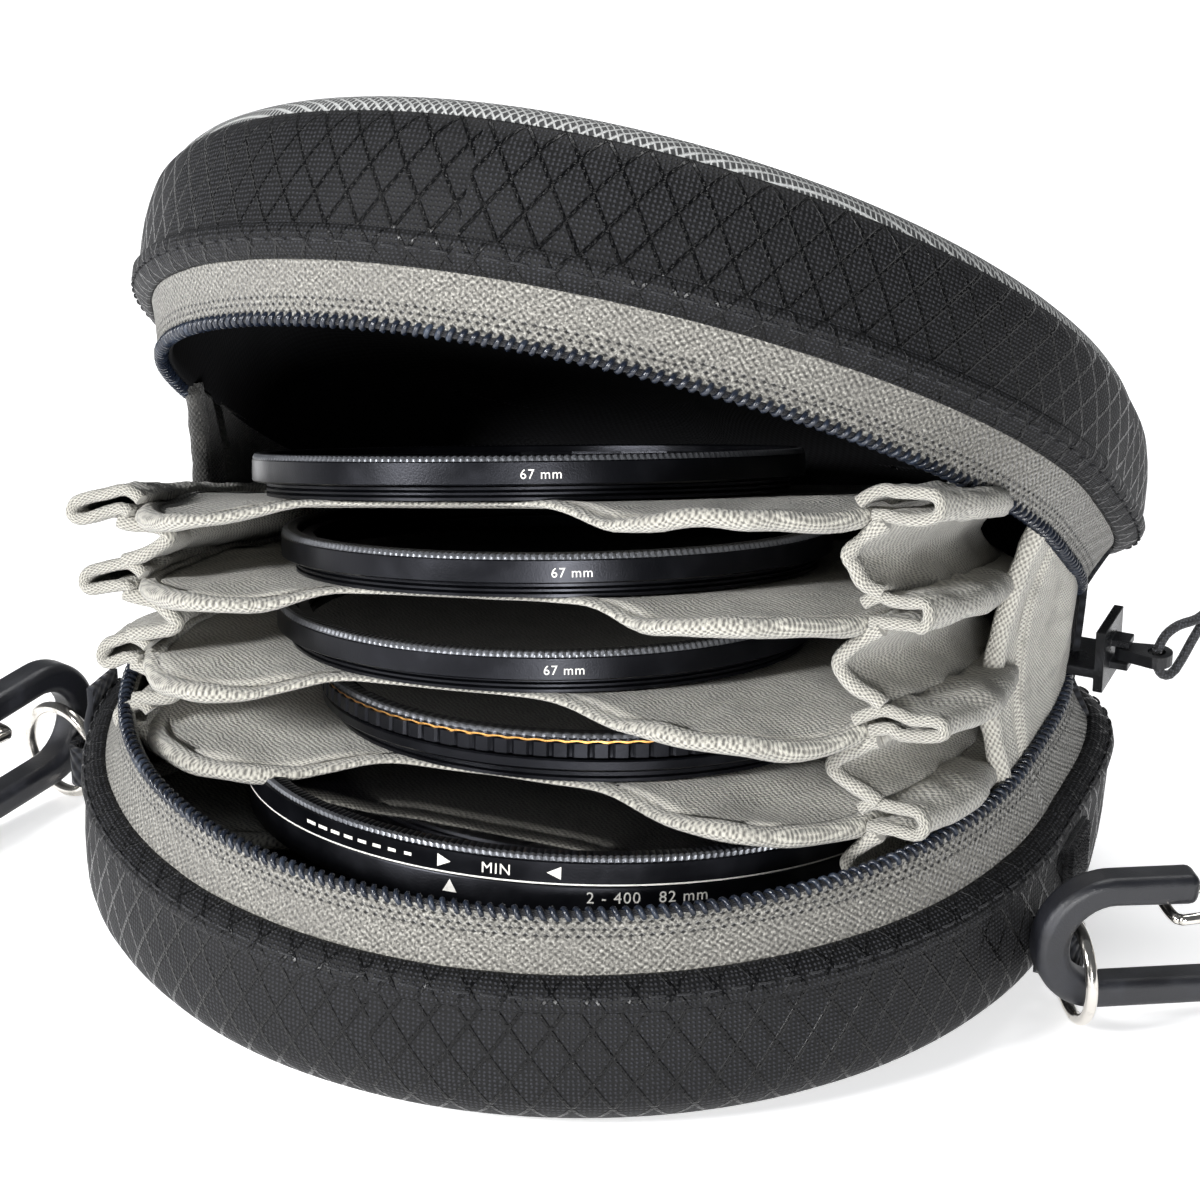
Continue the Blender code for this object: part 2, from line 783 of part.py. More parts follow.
def add_bellows(number, side, lower, upper, depth):
    """The folded cloth that closes one side of a pocket, drawn between two sheets as they stand open."""
    sign = 1.0 if side == "right" else -1.0
    top_z = upper.origin.z - FOLD_GAP
    low_z = lower.origin.z + DIVIDER_WALL + FOLD_GAP
    rows = [[], [], []]
    for step in range(FOLD_STEPS):
        y = FOLD_BACK_Y + (FOLD_FRONT_Y - FOLD_BACK_Y) * step / (FOLD_STEPS - 1)
        x = sign * (side_x(y) - FOLD_INSET)
        high = upper.place((x, y, top_z))
        low = lower.place((x, y, low_z))
        fold = 0.5 * (high + low) - Vector((sign * depth, 0.0, 0.0))
        for row, point in zip(rows, (low, fold, high)):
            row.append(point)
    name = "bellows_" + side + "_" + str(number)
    back = upper.world.inverted()
    local = [[back @ point for point in row] for row in rows]
    mesh = loft_mesh(name, local, False)
    solidify(add_object(name, mesh, grey_canvas(), upper, upper.origin), FOLD_WALL, 0.0)


divider_pivots = []
for place, (turn, lean, height) in enumerate(zip(DIVIDER_TURNS, DIVIDER_LEANS, DIVIDER_HEIGHTS)):
    spot = (DIVIDER_PIVOT_X, DIVIDER_PIVOT_Y, height)
    line = Vector((math.cos(lean), math.sin(lean), 0.0))
    label = "divider_pivot_" + str(len(DIVIDER_HEIGHTS) - place)
    divider_pivots.append(Pivot(label, spot, None, Matrix.Rotation(-turn, 4, line)))
divider_pivots.reverse()
add_spine()
for place, pivot in enumerate(divider_pivots):
    add_divider(place + 1, pivot)
for place in range(len(divider_pivots) - 1):
    last = place == len(divider_pivots) - 2
    add_bellows(place + 1, "left", divider_pivots[place + 1], divider_pivots[place], FOLD_DEPTH)
    right_depth = FOLD_SHALLOW if last else FOLD_DEPTH
    add_bellows(place + 1, "right", divider_pivots[place + 1], divider_pivots[place], right_depth)


def add_gusset(side):
    """The cloth web that stops the lid, from rim to rim beside the insert."""
    sign = 1.0 if side == "right" else -1.0
    rows = [[] for _ in range(GUSSET_ROWS)]
    for step in range(GUSSET_STEPS):
        y = GUSSET_BACK_Y + (GUSSET_FRONT_Y - GUSSET_BACK_Y) * step / (GUSSET_STEPS - 1)
        angle = angle_at(y, GUSSET_INSET, 0.0, 0.0)
        x = sign * outline_point(angle, GUSSET_INSET, 0.0, 0.0)[0]
        low = base.lift(x, y, GUSSET_FOOT_HEIGHT)
        high = lid.pivot.place(lid.lift(x, y, GUSSET_FOOT_HEIGHT))
        for index, row in enumerate(rows):
            share = index / (GUSSET_ROWS - 1)
            bulge = GUSSET_BULGE * math.sin(math.pi * share)
            row.append(low + (high - low) * share - Vector((sign * bulge, 0.0, 0.0)))
    name = "side_gusset_" + side
    solidify(add_object(name, loft_mesh(name, rows, False), grey_canvas()), GUSSET_WALL, 0.0)


add_gusset("left")
add_gusset("right")


# Filters
def filter_spot(name, radius):
    """The filter's centre, with its rim in front of the sheet's back edge."""
    x, gap = FILTER_SPOTS[name]
    return x, DIVIDER_BACK_Y - gap - radius


def add_pane(name, radius, low, pivot, origin):
    mesh = cylinder_mesh(name, radius, low, low + GLASS_WALL, (0.0, 0.0), RING_STEPS)
    add_object(name, mesh, smoked_glass(), pivot, origin)


def add_diffuser(number, pivot, x, y):
    """A screw-in filter: a ring with a thread behind it, a pane, and the retainer that holds the pane."""
    origin = (x, y, pivot.origin.z + DIVIDER_WALL + GAP)
    top = THREAD_HEIGHT + DIFFUSER_RING_HEIGHT
    profile = [
        (SMALL_RING_RADIUS, top - RING_BEVEL),
        (SMALL_RING_RADIUS, THREAD_HEIGHT),
        (SMALL_THREAD_RADIUS, THREAD_HEIGHT),
        (SMALL_THREAD_RADIUS, 0.0),
        (SMALL_CLEAR_RADIUS, 0.0),
        (SMALL_CLEAR_RADIUS, LEDGE_HEIGHT),
        (SMALL_BORE_RADIUS, LEDGE_HEIGHT),
        (SMALL_BORE_RADIUS, top),
        (SMALL_RING_RADIUS - RING_BEVEL, top),
    ]
    name = "diffuser_" + str(number)
    turned(name + "_ring", profile, anodised_black(), pivot, origin)
    pane = SMALL_BORE_RADIUS - GLASS_GAP
    add_pane(name + "_glass", pane, LEDGE_HEIGHT + GAP, pivot, origin)
    low = LEDGE_HEIGHT + GAP + GLASS_WALL + GAP
    retainer = [
        (pane, low + RETAINER_HEIGHT),
        (pane, low),
        (pane - RETAINER_WIDTH, low),
        (pane - RETAINER_WIDTH, low + RETAINER_HEIGHT),
    ]
    turned(name + "_retainer", retainer, anodised_black(), pivot, origin)


def add_turning_filter(name, pivot, x, y, radii, heights):
    """A filter in two rings: one screws to the lens, and the other turns on it with the pane."""
    rear_radius, front_radius, thread_radius, bore_radius, clear_radius = radii
    thread_height, rear_height, front_height = heights
    origin = (x, y, pivot.origin.z + DIVIDER_WALL + GAP)
    rear_top = thread_height + rear_height
    rear = [
        (rear_radius, rear_top),
        (rear_radius, thread_height),
        (thread_radius, thread_height),
        (thread_radius, 0.0),
        (clear_radius, 0.0),
        (clear_radius, rear_top),
    ]
    turned(name + "_rear_ring", rear, anodised_black(), pivot, origin)
    low = rear_top + GAP
    high = low + front_height
    ledge = low + FRONT_LEDGE_HEIGHT
    front = [
        (front_radius, high - RING_BEVEL),
        (front_radius, low),
        (clear_radius, low),
        (clear_radius, ledge),
        (bore_radius, ledge),
        (bore_radius, high),
        (front_radius - RING_BEVEL, high),
    ]
    turn_pivot = Pivot(name + "_pivot", origin, pivot)
    turned(name + "_front_ring", front, anodised_black(), turn_pivot, origin)
    add_pane(name + "_glass", bore_radius - GLASS_GAP, ledge + GAP, turn_pivot, origin)


POLARISER_RADII = (
    SMALL_RING_RADIUS,
    SMALL_RING_RADIUS + GAP,
    SMALL_THREAD_RADIUS,
    SMALL_BORE_RADIUS,
    SMALL_CLEAR_RADIUS,
)
POLARISER_HEIGHTS = (THREAD_HEIGHT, POLARISER_REAR_HEIGHT, POLARISER_FRONT_HEIGHT)
DENSITY_RADII = (
    LARGE_REAR_RADIUS,
    LARGE_RING_RADIUS,
    LARGE_THREAD_RADIUS,
    LARGE_BORE_RADIUS,
    LARGE_CLEAR_RADIUS,
)
DENSITY_HEIGHTS = (DENSITY_THREAD_HEIGHT, DENSITY_REAR_HEIGHT, DENSITY_FRONT_HEIGHT)

for place in range(3):
    spot = filter_spot("diffuser_" + str(place + 1), SMALL_RING_RADIUS)
    add_diffuser(place + 1, divider_pivots[place], *spot)
polariser_spot = filter_spot("polariser", SMALL_RING_RADIUS)
density_spot = filter_spot("density", LARGE_RING_RADIUS)
add_turning_filter("polariser", divider_pivots[3], *polariser_spot, POLARISER_RADII, POLARISER_HEIGHTS)
add_turning_filter("density", divider_pivots[4], *density_spot, DENSITY_RADII, DENSITY_HEIGHTS)


# Slider, its tab, the cord and the grip
def add_slider():
    """The zip's slider, parked past the end of the coil, on the right."""
    middle = 0.5 * (SLIDER_OUTER_Z[0] + SLIDER_OUTER_Z[1])
    pivot = Pivot("slider_pivot", (SLIDER_OUTER_X[0], SLIDER_Y, middle))
    outline = [
        (SLIDER_OUTER_X[1], SLIDER_OUTER_Z[0]),
        (SLIDER_OUTER_X[1], SLIDER_OUTER_Z[1]),
        (SLIDER_OUTER_X[0], SLIDER_OUTER_Z[1]),
        (SLIDER_OUTER_X[0], SLIDER_POST_Z[1]),
        (SLIDER_INNER_X[1], SLIDER_POST_Z[1]),
        (SLIDER_INNER_X[1], SLIDER_INNER_Z[1]),
        (SLIDER_INNER_X[0], SLIDER_INNER_Z[1]),
        (SLIDER_INNER_X[0], SLIDER_INNER_Z[0]),
        (SLIDER_INNER_X[1], SLIDER_INNER_Z[0]),
        (SLIDER_INNER_X[1], SLIDER_POST_Z[0]),
        (SLIDER_OUTER_X[0], SLIDER_POST_Z[0]),
        (SLIDER_OUTER_X[0], SLIDER_OUTER_Z[0]),
    ]
    data = outline_curve("zip_slider", outline, SLIDER_LENGTH)
    turn = Matrix.Rotation(0.5 * math.pi, 4, "X")
    item = to_mesh(add_object("zip_slider", data, moulded_black(), pivot, (0.0, SLIDER_Y, 0.0), turn))
    half_tab = 0.5 * TAB_WALL + GAP
    start = SLIDER_OUTER_X[1] - SLIDER_BEVEL
    for sign in (-1.0, 1.0):
        ends = sorted((middle + sign * half_tab, middle + sign * (half_tab + LUG_WALL)))
        low = (start, ends[0], -0.5 * LUG_LENGTH)
        high = (start + LUG_LENGTH, ends[1], 0.5 * LUG_LENGTH)
        cut(item, box_object("slider_lug", low, high), "UNION")
    bevel(item, SLIDER_BEVEL)
    return pivot, middle


def add_pull_tab(slider, middle):
    """The small pull that swings between the slider's lugs and holds the cord."""
    pin_x = SLIDER_OUTER_X[1] + GAP + TAB_INNER_RADIUS
    origin = (pin_x, SLIDER_Y, middle)
    pivot = Pivot("pull_tab_pivot", origin, slider)
    eye = (TAB_LENGTH, 0.0)
    outline = arc_points((0.0, 0.0), TAB_INNER_RADIUS, 90.0, 270.0, 8)
    outline += arc_points(eye, TAB_OUTER_RADIUS, -110.0, 110.0, 12)
    hole = arc_points(eye, TAB_EYE_RADIUS, 0.0, 337.5, 15)
    data = outline_curve("zip_pull_tab", outline, TAB_WALL, [hole])
    add_object("zip_pull_tab", data, moulded_black(), pivot, origin)
    return pivot, Vector((pin_x + TAB_LENGTH, SLIDER_Y, middle))


def cord_path(eye):
    """A closed loop: through the tab's eye, along two strands and round inside the grip."""
    rise = Vector((0.0, 0.0, 1.0))
    out = CORD_HEADING
    strand = []
    steps = 10
    for step in range(steps + 1):
        share = step / steps
        run = CORD_NECK + (CORD_LENGTH - CORD_NECK) * share
        strand.append(eye + out * run - rise * (CORD_SAG * share * share))
    heading = (strand[-1] - strand[-2]).normalized()
    side = out.cross(rise).normalized()
    across = side.cross(heading).normalized() * (0.5 * CORD_SPACING)
    turn = []
    for step in range(1, 6):
        angle = math.pi * step / 6
        turn.append(strand[-1] + across * math.cos(angle) + heading * (0.5 * CORD_SPACING * math.sin(angle)))
    upper = [point + across for point in strand]
    lower = [point - across for point in reversed(strand)]
    flat = Vector((out.x, out.y, 0.0)).normalized()
    lead_shares = ((0.95, -0.8), (0.35, -0.85), (0.0, -0.4), (0.0, 0.4), (0.35, 0.95), (0.95, 1.25))
    lead = [eye + flat * (CORD_LOOP * run) + rise * (CORD_LOOP * up) for run, up in lead_shares]
    return upper + turn + lower + lead, strand[-1], heading


def add_cord_and_grip(pivot, eye):
    points, end, heading = cord_path(eye)
    curve_object("pull_cord", points, CORD_RADIUS, black_webbing(), pivot, pivot.origin, closed=True)
    start = end - heading * (GRIP_BORE_DEPTH - 2.0 * CORD_SPACING)
    turn = heading.to_track_quat("Z", "X").to_matrix().to_4x4()
    waist_share = 0.8
    shoulder_share = 0.93
    cap_share = 0.75
    profile = [
        (0.0, GRIP_LENGTH),
        (GRIP_RADIUS * cap_share, GRIP_LENGTH),
        (GRIP_RADIUS, GRIP_LENGTH * shoulder_share),
        (GRIP_RADIUS * waist_share, 0.0),
        (GRIP_BORE_RADIUS, 0.0),
        (GRIP_BORE_RADIUS, GRIP_BORE_DEPTH),
        (0.0, GRIP_BORE_DEPTH),
    ]
    item = turned("pull_grip", profile, moulded_black(), pivot, start, HOLE_SEGMENTS, loop=False)
    item.matrix_basis = item.matrix_basis @ turn


slider_pivot, slider_middle = add_slider()
tab_pivot, eye_spot = add_pull_tab(slider_pivot, slider_middle)
add_cord_and_grip(tab_pivot, eye_spot)


# Carrying hardware
def add_webbing_tab(side):
    """A loop of webbing sewn to the band, with the ring through it."""
    sign = 1.0 if side == "right" else -1.0
    x_low, x_high = sorted((sign * TAB_LOOP_X[0], sign * TAB_LOOP_X[1]))
    y_low = TAB_LOOP_Y[side] - 0.5 * TAB_LOOP_DEPTH
    y_high = TAB_LOOP_Y[side] + 0.5 * TAB_LOOP_DEPTH
    wall = TAB_LOOP_WALL
    outer = [(x_low, y_low), (x_high, y_low), (x_high, y_high), (x_low, y_high)]
    inner = [
        (x_low + wall, y_low + wall),
        (x_high - wall, y_low + wall),
        (x_high - wall, y_high - wall),
        (x_low + wall, y_high - wall),
    ]
    data = outline_curve("webbing_tab_" + side, outer, TAB_LOOP_HEIGHT, [inner])
    add_object("webbing_tab_" + side, data, black_webbing(), None, (0.0, 0.0, RING_HEIGHT))


def ring_frame(side):
    """The ring's pin in the tab, the level direction out across the ring, and its centre."""
    sign = 1.0 if side == "right" else -1.0
    heading = RING_HEADING[side]
    out = Vector((math.cos(heading), math.sin(heading), 0.0))
    pin = Vector((sign * RING_PIN_X, TAB_LOOP_Y[side] + RING_PIN_SHIFT[side], RING_HEIGHT))
    return pin, out, pin + out * RING_RADIUS


def add_ring(side):
    pin, out, centre = ring_frame(side)
    pivot = Pivot("ring_pivot_" + side, pin)
    up = Vector((0.0, 0.0, 1.0))
    points = []
    for step in range(RING_POINTS):
        turn = 2.0 * math.pi * step / RING_POINTS
        points.append(centre + RING_RADIUS * (out * math.cos(turn) + up * math.sin(turn)))
    curve_object("ring_" + side, points, RING_WIRE_RADIUS, polished_steel(), pivot, pin, closed=True)
    return pivot


def carabiner_outline():
    """The plate in its own plane: u along it from the ring's end, v towards the gate."""
    end = CARABINER_END_RADIUS
    hole = CARABINER_HOLE_RADIUS
    far = CARABINER_LENGTH - end
    arm = end - CARABINER_ARM
    points = [(CARABINER_NOSE_U, end)]
    points += arc_points((end, 0.0), end, 90.0, 270.0, 12)
    points += arc_points((far, 0.0), end, -90.0, 90.0, 10)
    points += [(CARABINER_JAW_U, end), (CARABINER_JAW_U, arm)]
    points += arc_points((far, 0.0), hole, 90.0, -90.0, 7)
    points += arc_points((CARABINER_HOLE_U, 0.0), hole, 270.0, 90.0, 8)
    points += [(CARABINER_NOSE_U, arm)]
    return points


def add_carabiner(side, ring_pivot):
    """A plate that stands on its spine, with the ring round the bar at its near end."""
    pin, out, centre = ring_frame(side)
    up = Vector((0.0, 0.0, 1.0))
    along = up.cross(out) * math.cos(CARABINER_TILT) - up * math.sin(CARABINER_TILT)
    across = out.cross(along)
    bar = centre + out * CARABINER_BAR_SHIFT - up * CARABINER_BAR_DROP
    start = bar - along * CARABINER_BAR_U - across * CARABINER_BAR_V
    turn = Matrix((along, across, out)).transposed().to_4x4()
    pivot = Pivot("carabiner_pivot_" + side, centre, ring_pivot)
    data = outline_curve("carabiner_" + side, carabiner_outline(), CARABINER_WALL)
    item = to_mesh(add_object("carabiner_" + side, data, moulded_black(), pivot, start, turn))
    half_wall = 0.5 * CARABINER_WALL
    spot = (GATE_PIVOT_U, GATE_PIVOT_V)
    for sign in (-1.0, 1.0):
        low, high = sorted((sign * (half_wall - GATE_HOLE_DEPTH), sign * (half_wall + GATE_HOLE_DEPTH)))
        mesh = cylinder_mesh("gate_hole", GATE_HOLE_RADIUS, low, high, spot, HOLE_SEGMENTS)
        cut(item, bpy.data.objects.new("gate_hole", mesh))
    bevel(item, CARABINER_BEVEL)
    add_gate(side, pivot, Matrix.Translation(start) @ turn)


def add_gate(side, carabiner_pivot, frame):
    """The wire gate: its ends sit in the plate's holes and its loop rests behind the nose."""
    side_w = 0.5 * CARABINER_WALL + GATE_WIRE_RADIUS + GAP
    bend = 2.0 * GATE_WIRE_RADIUS
    corner = 0.3 * bend
    end_w = 0.5 * CARABINER_WALL - GATE_HOLE_DEPTH + GAP
    half = [
        (GATE_PIVOT_U, GATE_PIVOT_V, end_w),
        (GATE_PIVOT_U, GATE_PIVOT_V, side_w - corner),
        (GATE_PIVOT_U - corner, GATE_PIVOT_V, side_w),
        (GATE_PIVOT_U - bend, GATE_PIVOT_V, side_w),
        (GATE_TIP_U + bend, GATE_TIP_V, side_w),
        (GATE_TIP_U + corner, GATE_TIP_V, side_w - corner),
        (GATE_TIP_U, GATE_TIP_V, side_w - bend),
    ]
    other = [(u, v, -w) for u, v, w in reversed(half)]
    points = [frame @ Vector(point) for point in half + other]
    pin = frame @ Vector((GATE_PIVOT_U, GATE_PIVOT_V, 0.0))
    pivot = Pivot("gate_pivot_" + side, pin, carabiner_pivot)
    curve_object("gate_" + side, points, GATE_WIRE_RADIUS, polished_steel(), pivot, pin)


def add_patch():
    """The strip of hook tape on the band beside the right ring."""
    rows = []
    steps = 4
    for height in PATCH_Z:
        row = []
        for step in range(steps + 1):
            y = PATCH_Y[0] + (PATCH_Y[1] - PATCH_Y[0]) * step / steps
            row.append((HALF_WIDTH + GAP, y, height))
        rows.append(row)
    mesh = loft_mesh("hook_patch", rows, False)
    solidify(add_object("hook_patch", mesh, black_webbing()), PATCH_WALL, 1.0)


add_patch()
for label in ("left", "right"):
    add_webbing_tab(label)
    add_carabiner(label, add_ring(label))
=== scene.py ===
import math

import bmesh
import bpy
import numpy as np
from mathutils import Matrix, Vector, noise


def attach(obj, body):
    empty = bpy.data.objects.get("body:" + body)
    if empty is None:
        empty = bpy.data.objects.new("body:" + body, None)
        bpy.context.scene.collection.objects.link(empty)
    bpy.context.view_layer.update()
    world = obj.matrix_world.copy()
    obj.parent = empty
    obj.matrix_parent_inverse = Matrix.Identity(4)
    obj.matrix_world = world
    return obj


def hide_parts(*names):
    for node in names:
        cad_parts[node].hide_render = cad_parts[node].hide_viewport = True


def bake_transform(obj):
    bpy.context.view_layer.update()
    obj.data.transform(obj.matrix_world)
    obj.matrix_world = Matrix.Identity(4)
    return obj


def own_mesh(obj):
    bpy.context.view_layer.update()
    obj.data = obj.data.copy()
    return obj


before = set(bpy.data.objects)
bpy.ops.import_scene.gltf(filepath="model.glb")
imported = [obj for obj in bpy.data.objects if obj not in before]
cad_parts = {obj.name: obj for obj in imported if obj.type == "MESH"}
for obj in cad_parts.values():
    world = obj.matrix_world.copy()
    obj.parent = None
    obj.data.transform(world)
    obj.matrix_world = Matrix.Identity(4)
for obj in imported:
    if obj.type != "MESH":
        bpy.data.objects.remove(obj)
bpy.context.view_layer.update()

mm = 0.001
up = Vector((0.0, 0.0, 1.0))
print("frame loaded:", len(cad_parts), "nodes")

# camera: the long lens and the angle of the photograph
cameraView = {
    "azimuth": 22.38,
    "elevation": 25.50,
    "distance": 420 * mm,
    "target": Vector((14.42, -29.70, 54.48)) * mm,
    "focalPixels": 3545.0,
    "framePixels": 1200.0,
    "sensor": 36.0,
}


def makeCamera(view):
    data = bpy.data.cameras.new("studioCamera")
    data.sensor_width = view["sensor"]
    data.lens = view["focalPixels"] / view["framePixels"] * view["sensor"]
    data.clip_start = 0.01
    data.clip_end = 20.0
    camera = bpy.data.objects.new("studioCamera", data)
    bpy.context.scene.collection.objects.link(camera)
    azimuth = math.radians(view["azimuth"])
    elevation = math.radians(view["elevation"])
    back = Vector((
        math.sin(azimuth) * math.cos(elevation),
        -math.cos(azimuth) * math.cos(elevation),
        math.sin(elevation),
    ))
    camera.location = view["target"] + back * view["distance"]
    camera.rotation_mode = "QUATERNION"
    camera.rotation_quaternion = (-back).to_track_quat("-Z", "Y")
    bpy.context.scene.camera = camera


makeCamera(cameraView)


# materials
# sRGB hex to the linear colour that a shader takes
def toLinear(hexColour):
    channels = []
    for start in (1, 3, 5):
        value = int(hexColour[start:start + 2], 16) / 255.0
        channels.append(value / 12.92 if value <= 0.04045 else ((value + 0.055) / 1.055) ** 2.4)
    return (*channels, 1.0)


# add one node: its options, then its inputs, where a socket is linked and a hex colour turned to linear
def addNode(tree, kind, inputs, out=0, **options):
    node = tree.nodes.new("ShaderNode" + kind)
    for key, value in options.items():
        setattr(node, key, value)
    for key, value in (enumerate(inputs) if isinstance(inputs, list) else inputs.items()):
        if isinstance(value, bpy.types.NodeSocket):
            tree.links.new(value, node.inputs[key])
        else:
            node.inputs[key].default_value = toLinear(value) if isinstance(value, str) else value
    return node.outputs[out]


def newMaterial(name, settings):
    made = bpy.data.materials.new(name)
    made.use_nodes = True
    shader = made.node_tree.nodes["Principled BSDF"]
    for key, value in settings.items():
        shader.inputs[key].default_value = value
    return made, made.node_tree, shader


def feedShader(tree, shader, sockets):
    for key, source in sockets.items():
        tree.links.new(source, shader.inputs[key])


smooth = {"interpolation_type": "SMOOTHSTEP"}
rgba = {"data_type": "RGBA"}


# lay colours over a ground one after the other, each with its own share
def layColours(tree, ground, layers):
    for share, over in layers:
        ground = addNode(tree, "Mix", {0: share, 6: ground, 7: over}, 2, **rgba)
    return ground


# add up heights, each times its own share
def addHeights(tree, first, others):
    for part, share in others:
        first = addNode(tree, "Math", [part, share, first], operation="MULTIPLY_ADD")
    return first


# cloth coordinates in millimetres: both together, along the piece, and across it
def clothAxes(tree):
    place = addNode(tree, "UVMap", {}, uv_map="clothMap")
    return place, addNode(tree, "SeparateXYZ", [place], 0), addNode(tree, "SeparateXYZ", [place], 1)


# plain weave: threads go over and under in turn
def plainWeave(tree, along, across, pitchAlong, pitchAcross):
    waves = []
    for axis, pitch in ((along, pitchAlong), (across, pitchAcross)):
        turn = addNode(tree, "Math", [axis, math.pi / pitch], operation="MULTIPLY")
        waves.append(addNode(tree, "Math", [turn], operation="SINE"))
    both = addNode(tree, "Math", waves, operation="MULTIPLY")
    return addNode(tree, "Math", [both, 0.5, 0.5], operation="MULTIPLY_ADD")


# how near a place is to a line of a diamond grid, as a share of a diamond
def diamondLines(tree, along, across, wide, high):
    sides = [
        addNode(tree, "Math", [along, wide], operation="DIVIDE"),
        addNode(tree, "Math", [across, high], operation="DIVIDE"),
    ]
    lines = []
    for way in ("ADD", "SUBTRACT"):
        slant = addNode(tree, "Math", sides, operation=way)
        lines.append(addNode(tree, "Math", [slant, 0.5], operation="PINGPONG"))
    return addNode(tree, "Math", lines, operation="MINIMUM")


ripstopLook = {"diamondWide": 4.6, "diamondHigh": 7.3, "dotPitch": 0.58, "patch": 22.0, "crease": 9.0}


# Nylon ripstop, woven with a raised diamond grid of thicker yarn: near-black lines over a
# finely dotted charcoal ground that shines a little where it turns to the light. The lighter dots are
# partly the weave's own texture and partly painted glints, where the yarn would catch the light.
# The real yarn is about 0.3 mm apart, and its dots are drawn twice as coarse so that they show.
def ripstopNylon(name, gridShare):
    look = ripstopLook
    made, tree, shader = newMaterial(
        name, {"Sheen Weight": 0.01, "Sheen Roughness": 0.4, "Specular IOR Level": 0.24},
    )
    place, along, across = clothAxes(tree)
    nearest = diamondLines(tree, along, across, look["diamondWide"], look["diamondHigh"])
    grid = addNode(tree, "MapRange", [nearest, 0.040, 0.078, gridShare, 0.0], **smooth)
    cells = addNode(
        tree, "TexVoronoi", {"Vector": place, "Scale": 1.0 / look["dotPitch"], "Randomness": 0.22},
        voronoi_dimensions="2D",
    )
    dotsAndGlints = addNode(tree, "MapRange", [cells, 0.10, 0.42, 1.0, 0.0], **smooth)
    patches = addNode(tree, "TexNoise", {"Vector": place, "Scale": 1.0 / look["patch"], "Detail": 3.0})
    dull = addNode(tree, "MapRange", [patches, 0.35, 0.7, 0.0, 0.45], **smooth)
    # the dots are painted lighter than the black yarn: partly weave texture, partly painted glints
    colour = layColours(tree, "#030304", ((dotsAndGlints, "#2c2d32"), (dull, "#0a0a0c"), (grid, "#020203")))
    half = addNode(tree, "Math", [dotsAndGlints, 0.5], operation="MULTIPLY")
    height = addHeights(tree, half, ((grid, 1.3),))
    creases = addNode(tree, "TexNoise", {"Vector": place, "Scale": 1.0 / look["crease"], "Detail": 2.0})
    soft = addNode(tree, "Bump", {"Height": creases, "Distance": 0.0009, "Strength": 0.6})
    raised = {"Height": height, "Distance": 0.00026, "Strength": 1.0, "Normal": soft}
    feedShader(tree, shader, {
        "Base Color": colour,
        "Roughness": addNode(tree, "MapRange", [grid, 0.0, 1.0, 0.60, 0.24], **smooth),
        "Normal": addNode(tree, "Bump", raised),
    })
    return made


tapeLook = {"holePitch": 1.25, "holeRows": ((1.15, 0.0), (1.95, 0.5), (2.75, 0.0)), "ribPitch": 0.9}


# Polyester zip tape, woven in fine ribs, with rows of open holes along the coil: warm mid grey
# that looks dusty, because the loose yarn scatters light.
def zipTapeWeave():
    look = tapeLook
    made, tree, shader = newMaterial("polyesterTapeWoven", {
        "Roughness": 0.86, "Sheen Weight": 0.25, "Sheen Roughness": 0.5, "Specular IOR Level": 0.3,
    })
    place, along, across = clothAxes(tree)
    weave = plainWeave(tree, along, across, 0.55, 0.42)
    skewed = addNode(tree, "Math", [across, 0.8, along], operation="MULTIPLY_ADD")
    ribTurn = addNode(tree, "Math", [skewed, look["ribPitch"]], operation="DIVIDE")
    ribs = addNode(tree, "Math", [ribTurn, 0.5], operation="PINGPONG")
    holes = None
    for centre, shift in look["holeRows"]:
        turn = addNode(tree, "Math", [along, 1.0 / look["holePitch"], shift], operation="MULTIPLY_ADD")
        near = addNode(tree, "Math", [turn, 0.5], operation="PINGPONG")
        away = addNode(tree, "Math", [across, centre], operation="SUBTRACT")
        away = addNode(tree, "Math", [away], operation="ABSOLUTE")
        wide = addNode(tree, "Math", [away, 1.5], operation="MULTIPLY")
        reach = addNode(tree, "Math", [near, look["holePitch"], wide], operation="MULTIPLY_ADD")
        one = addNode(tree, "MapRange", [reach, 0.22, 0.48, 1.0, 0.0], **smooth)
        holes = addNode(tree, "Math", [holes, one], operation="MAXIMUM") if holes else one
    fuzz = addNode(tree, "TexNoise", {"Vector": place, "Scale": 1.0 / 0.35, "Detail": 2.0})
    broad = addNode(tree, "TexNoise", {"Vector": place, "Scale": 1.0 / 14.0, "Detail": 3.0})
    colour = layColours(tree, "#353432", (
        (weave, "#7c7a74"),
        (addNode(tree, "MapRange", [fuzz, 0.42, 0.78, 0.0, 1.0], **smooth), "#b0aea7"),
        (addNode(tree, "MapRange", [broad, 0.4, 0.75, 0.0, 0.4], **smooth), "#6a6864"),
        (addNode(tree, "Math", [holes, 0.95], operation="MULTIPLY"), "#0e0e0d"),
    ))
    height = addHeights(tree, weave, ((ribs, 0.8), (holes, -1.6), (fuzz, 0.7)))
    feedShader(tree, shader, {
        "Base Color": colour,
        "Normal": addNode(tree, "Bump", {"Height": height, "Distance": 0.00022, "Strength": 1.0}),
    })
    return made


